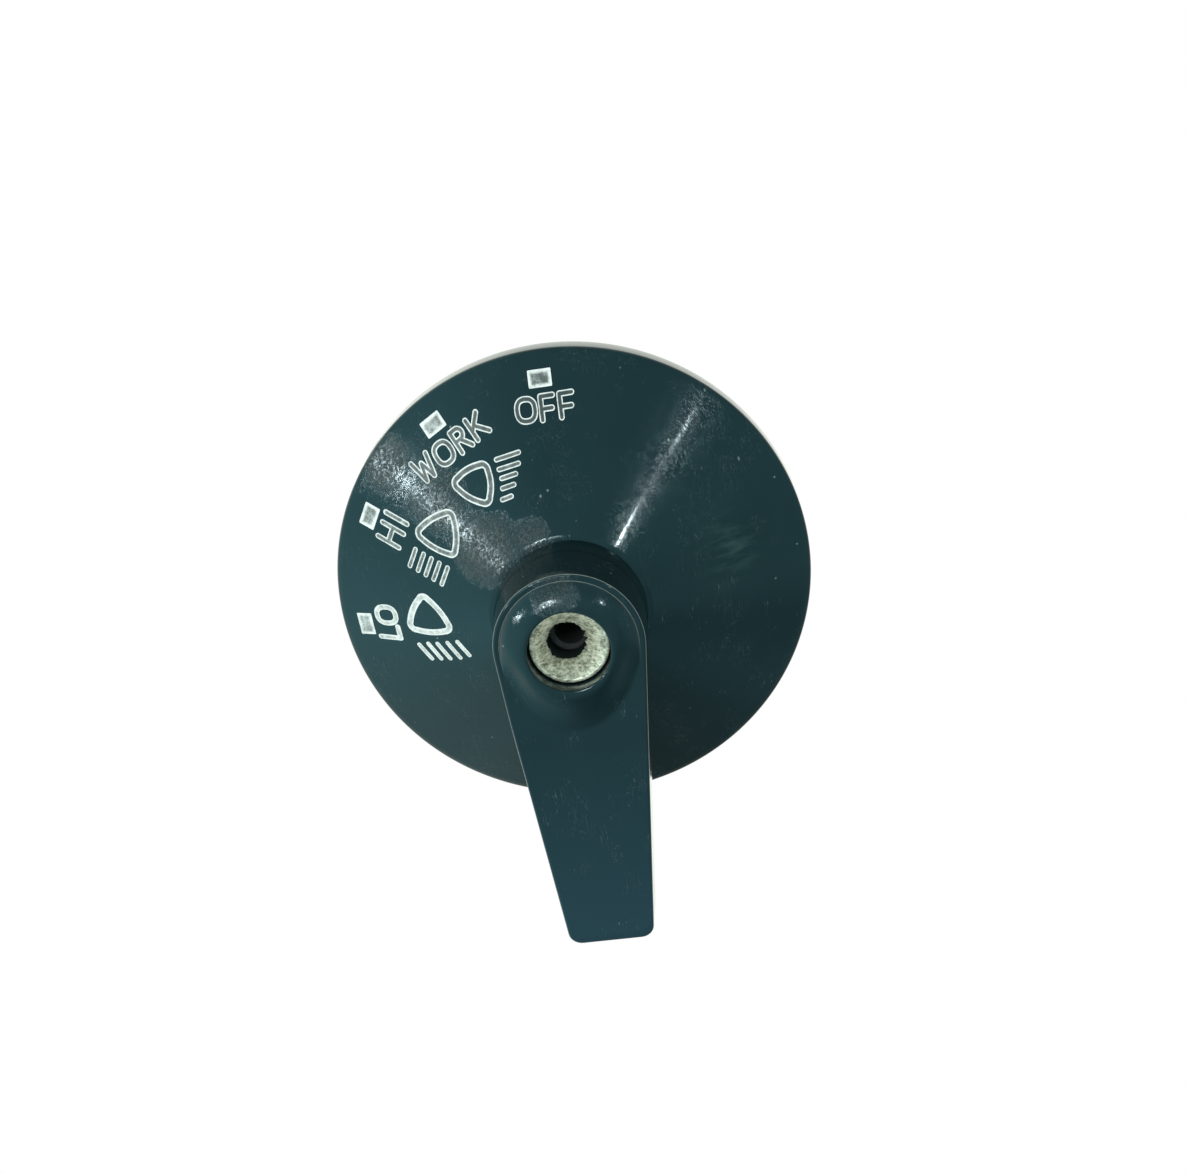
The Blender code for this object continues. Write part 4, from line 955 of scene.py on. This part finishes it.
def can_piece():
    """The drawn can: a rounded front corner, a rolled rim and three tabs bent over the base."""
    outer, front, rim, wall = CAN_HIGH[0], CAN_HIGH[2], -18.7, 1.0
    inner = outer - wall
    hole = BUSHING_R + 0.3
    outside = rounded([(hole, front), (outer, front), (outer, rim)], 1.4, 10)
    inside = rounded([(inner, rim), (inner, front - wall), (hole, front - wall)], 0.6, 6)
    profile = [(hole, front - 0.1), (hole + 0.1, front)] + outside[1:-1]
    profile += [(outer, rim + 0.15), (outer - 0.15, rim), (inner + 0.1, rim)] + inside[1:]
    profile += [(hole, front - wall + 0.1), (hole, front - 0.1)]
    shape = Shape()
    shape.turn(profile[::-1], 240)
    for angle in TAB_ANGLES:
        tab(shape, math.radians(angle), outer - 0.525, rim + 0.5, CAN_LOW[2])
    shape.piece("drawn_can", can_zinc, "switch_body", "housing_can", 30.0)


def tab(shape, angle, leg_r, top, foot):
    """A tab bent inwards over the base, with a rounded bend and rounded edges."""
    thick, bend, half, reach = 0.75, 0.85, 1.8, 2.3
    level = foot + thick / 2 + 0.02
    path = [(leg_r, z) for z in np.linspace(top, level + bend, 4)]
    path += [(leg_r - bend + bend * math.cos(a), level + bend - bend * math.sin(a))
             for a in np.linspace(0, math.pi / 2, 9)[1:]]
    path += [(leg_r - share * reach, level) for share in (0.6, 0.8, 0.95)]
    widths = [half] * (len(path) - 2) + [half - 0.15, half - 0.7]
    c, s = math.cos(angle), math.sin(angle)
    rings = []
    for i, (r, z) in enumerate(path):
        before, after = path[max(i - 1, 0)], path[min(i + 1, len(path) - 1)]
        run = Vector((after[0] - before[0], after[1] - before[1])).normalized()
        out = (run.y, -run.x)
        h, e = widths[i], 0.15
        section = [(-h + e, -1), (-h, -0.6), (-h, 0.6), (-h + e, 1)]
        section += [(-across, -side) for across, side in section]
        ring = []
        for across, side in section:
            radius, height = r - out[0] * side * thick / 2, z - out[1] * side * thick / 2
            ring.append((radius * c - across * s, radius * s + across * c, height))
        rings.append(np.array(ring))
    shape.loft(rings)
    shape.add(rings[-1], [tuple(range(8))])
    shape.add(rings[0], [tuple(range(7, -1, -1))])


def screw_piece(key):
    """A slotted round-head screw: a crowned head with its slot, above a threaded shank."""
    low, high = node_size(f"{key}_terminal_screw")
    cx, cy, _ = (low + high) / 2
    head_r = (high[0] - low[0]) / 2
    foot, top = low[2], low[2] + 1.9
    floor = foot + 0.9
    slot_half = 0.35
    turn = math.atan2(cy, cx) + math.radians(115)
    shape = Shape()
    pitch = 0.5
    shank = [(0.01, high[2]), (0.95, high[2]), (1.40, high[2] - 0.45)]
    z = high[2] - 0.6
    while z > top + 0.1:
        shank += [(1.18, z), (1.45, z - pitch / 2)]
        z -= pitch
    profile = shank + [(1.45, top), (head_r - 0.1, top), (head_r, top - 0.1), (head_r, floor)]
    shape.turn(profile[::-1], 72, (cx, cy))
    shape.turn([(head_r, floor), (0.01, floor)][::-1], 72, (cx, cy))
    c, s = math.cos(turn), math.sin(turn)
    crown = head_r - 0.85
    for sign in (1, -1):
        rings = []
        for share in np.linspace(0, 1, 9):
            z = floor + (foot - floor) * share
            radius = crown + (head_r - crown) * math.sqrt(max(0.0, 1 - share ** 2.2))
            chord = slot_half + (0.08 if share > 0.99 else 0.0)
            start = math.asin(chord / radius)
            arc = np.linspace(start, math.pi - start, 36)
            x, y = radius * np.cos(arc), sign * radius * np.sin(arc)
            chord_x = np.linspace(x[-1], x[0], 8)[1:-1]
            x = np.concatenate([x, chord_x])
            y = np.concatenate([y, np.full(6, sign * chord)])
            rings.append(np.stack([cx + x * c - y * s, cy + x * s + y * c, np.full(len(x), z)], axis=1))
        if sign > 0:
            rings = [ring[::-1] for ring in rings]
        shape.loft(rings)
        shape.add(rings[-1], [tuple(range(len(rings[-1])))])
    node = f"{key}_terminal_screw"
    shape.piece(f"{key}_slotted_screw", screw_brass, "switch_body", node, 30.0)


def smooth_group():
    """Geometry nodes that shade a CAD node smooth wherever its edges are gentle."""
    group = bpy.data.node_groups.new("smooth_gentle_edges", "GeometryNodeTree")
    group.interface.new_socket("Geometry", in_out="INPUT", socket_type="NodeSocketGeometry")
    group.interface.new_socket("Geometry", in_out="OUTPUT", socket_type="NodeSocketGeometry")
    nodes, links = group.nodes, group.links
    start, end = nodes.new("NodeGroupInput"), nodes.new("NodeGroupOutput")
    faces, edges = nodes.new("GeometryNodeSetShadeSmooth"), nodes.new("GeometryNodeSetShadeSmooth")
    edges.domain = "EDGE"
    angle, gentle = nodes.new("GeometryNodeInputMeshEdgeAngle"), nodes.new("FunctionNodeCompare")
    gentle.operation = "LESS_THAN"
    gentle.inputs["B"].default_value = math.radians(26)
    links.new(angle.outputs["Unsigned Angle"], gentle.inputs["A"])
    links.new(gentle.outputs["Result"], edges.inputs["Shade Smooth"])
    links.new(start.outputs[0], faces.inputs["Geometry"])
    links.new(faces.outputs[0], edges.inputs["Geometry"])
    links.new(edges.outputs[0], end.inputs[0])
    return group


def soften(obj, width, group):
    """Small rounded edges and smooth shading on a carried-over CAD node."""
    bevel = obj.modifiers.new("edge_round", "BEVEL")
    bevel.width = width * MM
    bevel.segments = 2
    bevel.limit_method = "ANGLE"
    bevel.angle_limit = math.radians(35)
    shade = obj.modifiers.new("smooth", "NODES")
    shade.node_group = group


CARRIED_OVER = {
    "lock_washer": (spring_steel, 0.08),
    "panel_nut": (zinc_plate, 0.12),
    "shaft_seal": (seal_rubber, 0.0),
    "thrust_washer": (contact_brass, 0.06),
    "locating_pin": (bright_steel, 0.10),
    "stop_pin": (bright_steel, 0.10),
    "spring_post_left": (bright_steel, 0.08),
    "spring_post_right": (bright_steel, 0.08),
    "detent_spring": (spring_steel, 0.05),
    "terminal_base": (phenolic, 0.12),
    "shaft": (shaft_painted_shade, 0.08),
    "shaft_clip": (spring_steel, 0.06),
    "star_wheel": (stamped_steel, 0.08),
    "contact_carrier": (nylon, 0.15),
    "contact_spring": (spring_steel, 0.0),
    "contact_bridge": (contact_brass, 0.08),
}
CIRCUITS = ("supply", "work", "high", "low", "tail")


def dress_carried_over():
    group = smooth_group()
    looks = dict(CARRIED_OVER)
    for key in CIRCUITS:
        looks[f"{key}_contact"] = (contact_brass, 0.10)
        looks[f"{key}_terminal"] = (terminal_brass, 0.10)
    for node, (material, width) in looks.items():
        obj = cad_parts[node]
        for material_slot in obj.material_slots:
            material_slot.material = material
        if width:
            soften(obj, width, group)


# --- floor, lights, camera
FLOOR_Z = -0.075
# Brightness of the room as the switch reflects it, and how that changes across it.
PALE = 0.75
RIGHT_DROP = 0.24  # fall-off towards the right
LEFT_LIFT = 0.40  # how much brighter again at the far left
LOW_DROP = 0.70  # fall-off below the horizon
BEHIND_LIFT = 0.70
PATCHINESS = 0.75
FRONT_TINT = (0.47, 1.0, 1.08)
BEHIND_TINT = (0.96, 1.0, 0.92)
WHITE = (1.0, 1.0, 1.0)


def backdrop():
    """A plain white floor far under the hanging switch, as bright as the white behind it."""
    size = 4.0
    corners = [(-size, -size, FLOOR_Z), (size, -size, FLOOR_Z), (size, size, FLOOR_Z), (-size, size, FLOOR_Z)]
    mesh = bpy.data.meshes.new("floor")
    mesh.from_pydata(corners, [], [(0, 1, 2, 3)])
    floor = bpy.data.objects.new("floor", mesh)
    bpy.context.scene.collection.objects.link(floor)
    t = new_tree("floor_paper")
    t.nodes.clear()
    glow = t.node("ShaderNodeEmission").outputs[0]
    t.node("ShaderNodeOutputMaterial", Surface=glow)
    mesh.materials.append(t.owner)
    floor.visible_glossy = False
    floor.visible_diffuse = False


def surroundings():
    """White behind the switch. Where it reflects, a pale green-grey room, lighter to the left and behind."""
    world = bpy.data.worlds.new("studio")
    bpy.context.scene.world = world
    t = Tree(world)
    where = t.node("ShaderNodeTexCoord").outputs["Generated"]
    split = t.node("ShaderNodeSeparateXYZ", Vector=where).outputs
    noise = t.node("ShaderNodeTexNoise", Vector=where, Scale=1.3, Detail=1.0).outputs["Fac"]
    patches = t.times(t.minus(noise, 0.5), PATCHINESS)
    leftward = t.most(t.times(split["X"], -1.0), 0.0)
    below = t.most(t.minus(t.times(split["Z"], -1.0), 0.4), 0.0)
    behind = t.times(t.most(split["Y"], 0.0), BEHIND_LIFT)
    room = t.math("ADD", t.total(PALE, (split["X"], -RIGHT_DROP)), t.math("ADD", behind, patches))
    room = t.math("ADD", room, t.total(t.times(leftward, LEFT_LIFT), (below, -LOW_DROP)))
    share_behind = t.node("ShaderNodeMapRange", Value=split["Y"], From_Min=-0.25, From_Max=0.30)
    tint = t.mix(share_behind.outputs["Result"], FRONT_TINT, BEHIND_TINT)
    path = t.node("ShaderNodeLightPath").outputs
    plain = t.most(path["Is Camera Ray"], path["Is Diffuse Ray"])
    strength = t.node("ShaderNodeMix", Factor=plain, A=room, B=1.0)
    back = t.nodes["Background"]
    t.feed(back.inputs["Color"], t.mix(plain, tint, WHITE))
    t.feed(back.inputs["Strength"], strength.outputs["Result"])


# Each light's name, its direction from the switch, its distance and width in metres, and its watts.
LIGHTS = (
    ("window_near", (-0.770, -0.564, 0.298), 0.62, 0.045, 0.42),
    ("window_far", (-0.825, -0.463, 0.323), 0.63, 0.030, 0.34),
    ("lamp_low", (0.588, -0.674, 0.447), 0.72, 0.020, 0.17),
    ("lamp_high", (0.630, -0.614, 0.476), 0.72, 0.010, 0.025),
    ("skylight", (-0.280, -0.868, 0.410), 0.63, 0.160, 2.8),
)
REFLECTED_ONLY = ("skylight",)


def lighting():
    """Round lights, each facing the switch."""
    for name, direction, distance, size, watts in LIGHTS:
        data = bpy.data.lights.new(name, "AREA")
        data.shape = "DISK"
        data.size = size
        data.energy = watts
        obj = bpy.data.objects.new(name, data)
        towards = Vector(direction).normalized()
        obj.location = towards * distance
        obj.rotation_euler = towards.to_track_quat("Z", "Y").to_euler()
        obj.visible_diffuse = name not in REFLECTED_ONLY
        bpy.context.scene.collection.objects.link(obj)


def place_camera():
    """The camera, in front of the switch and a little above it, with a small roll."""
    data = bpy.data.cameras.new("photo_camera")
    data.lens = 68.02
    data.sensor_width = 36.0
    data.shift_x = 0.01637
    data.shift_y = -0.00747
    data.clip_start = 0.01
    data.clip_end = 20.0
    camera = bpy.data.objects.new("photo_camera", data)
    distance = 0.300
    target = Vector((0, -SKIRT_HEIGHT * MM, 0))
    away = Vector((0.0636, -0.93979, 0.33594)).normalized()
    rolled_up = Vector((0.12706, 0, 0.99189))
    right = rolled_up.cross(away).normalized()
    turn = Matrix((right, away.cross(right), away)).transposed()
    camera.matrix_world = Matrix.Translation(target + distance * away) @ turn.to_4x4()
    bpy.context.scene.collection.objects.link(camera)
    bpy.context.scene.camera = camera


# --- build
place_camera()
surroundings()
backdrop()
lighting()

dial_piece()
mark_piece("mark_off", 0.0, 0.95, 0.58, OFF_WORD)
mark_piece("mark_work", DETENT_STEP, 0.74, 0.46, WORK_WORD, WORK_LAMP, WORK_BEAM)
mark_piece("mark_hi", 2 * DETENT_STEP, 0.58, 0.46, HI_WORD, HI_LAMP, HI_BEAM)
mark_piece("mark_lo", 3 * DETENT_STEP, 0.20, 0.36, LO_WORD, LO_LAMP, LO_BEAM)
lever_piece()
insert_piece()
bushing_piece()
can_piece()
for circuit in CIRCUITS:
    screw_piece(circuit)
dress_carried_over()

bpy.context.scene.view_settings.view_transform = "Standard"
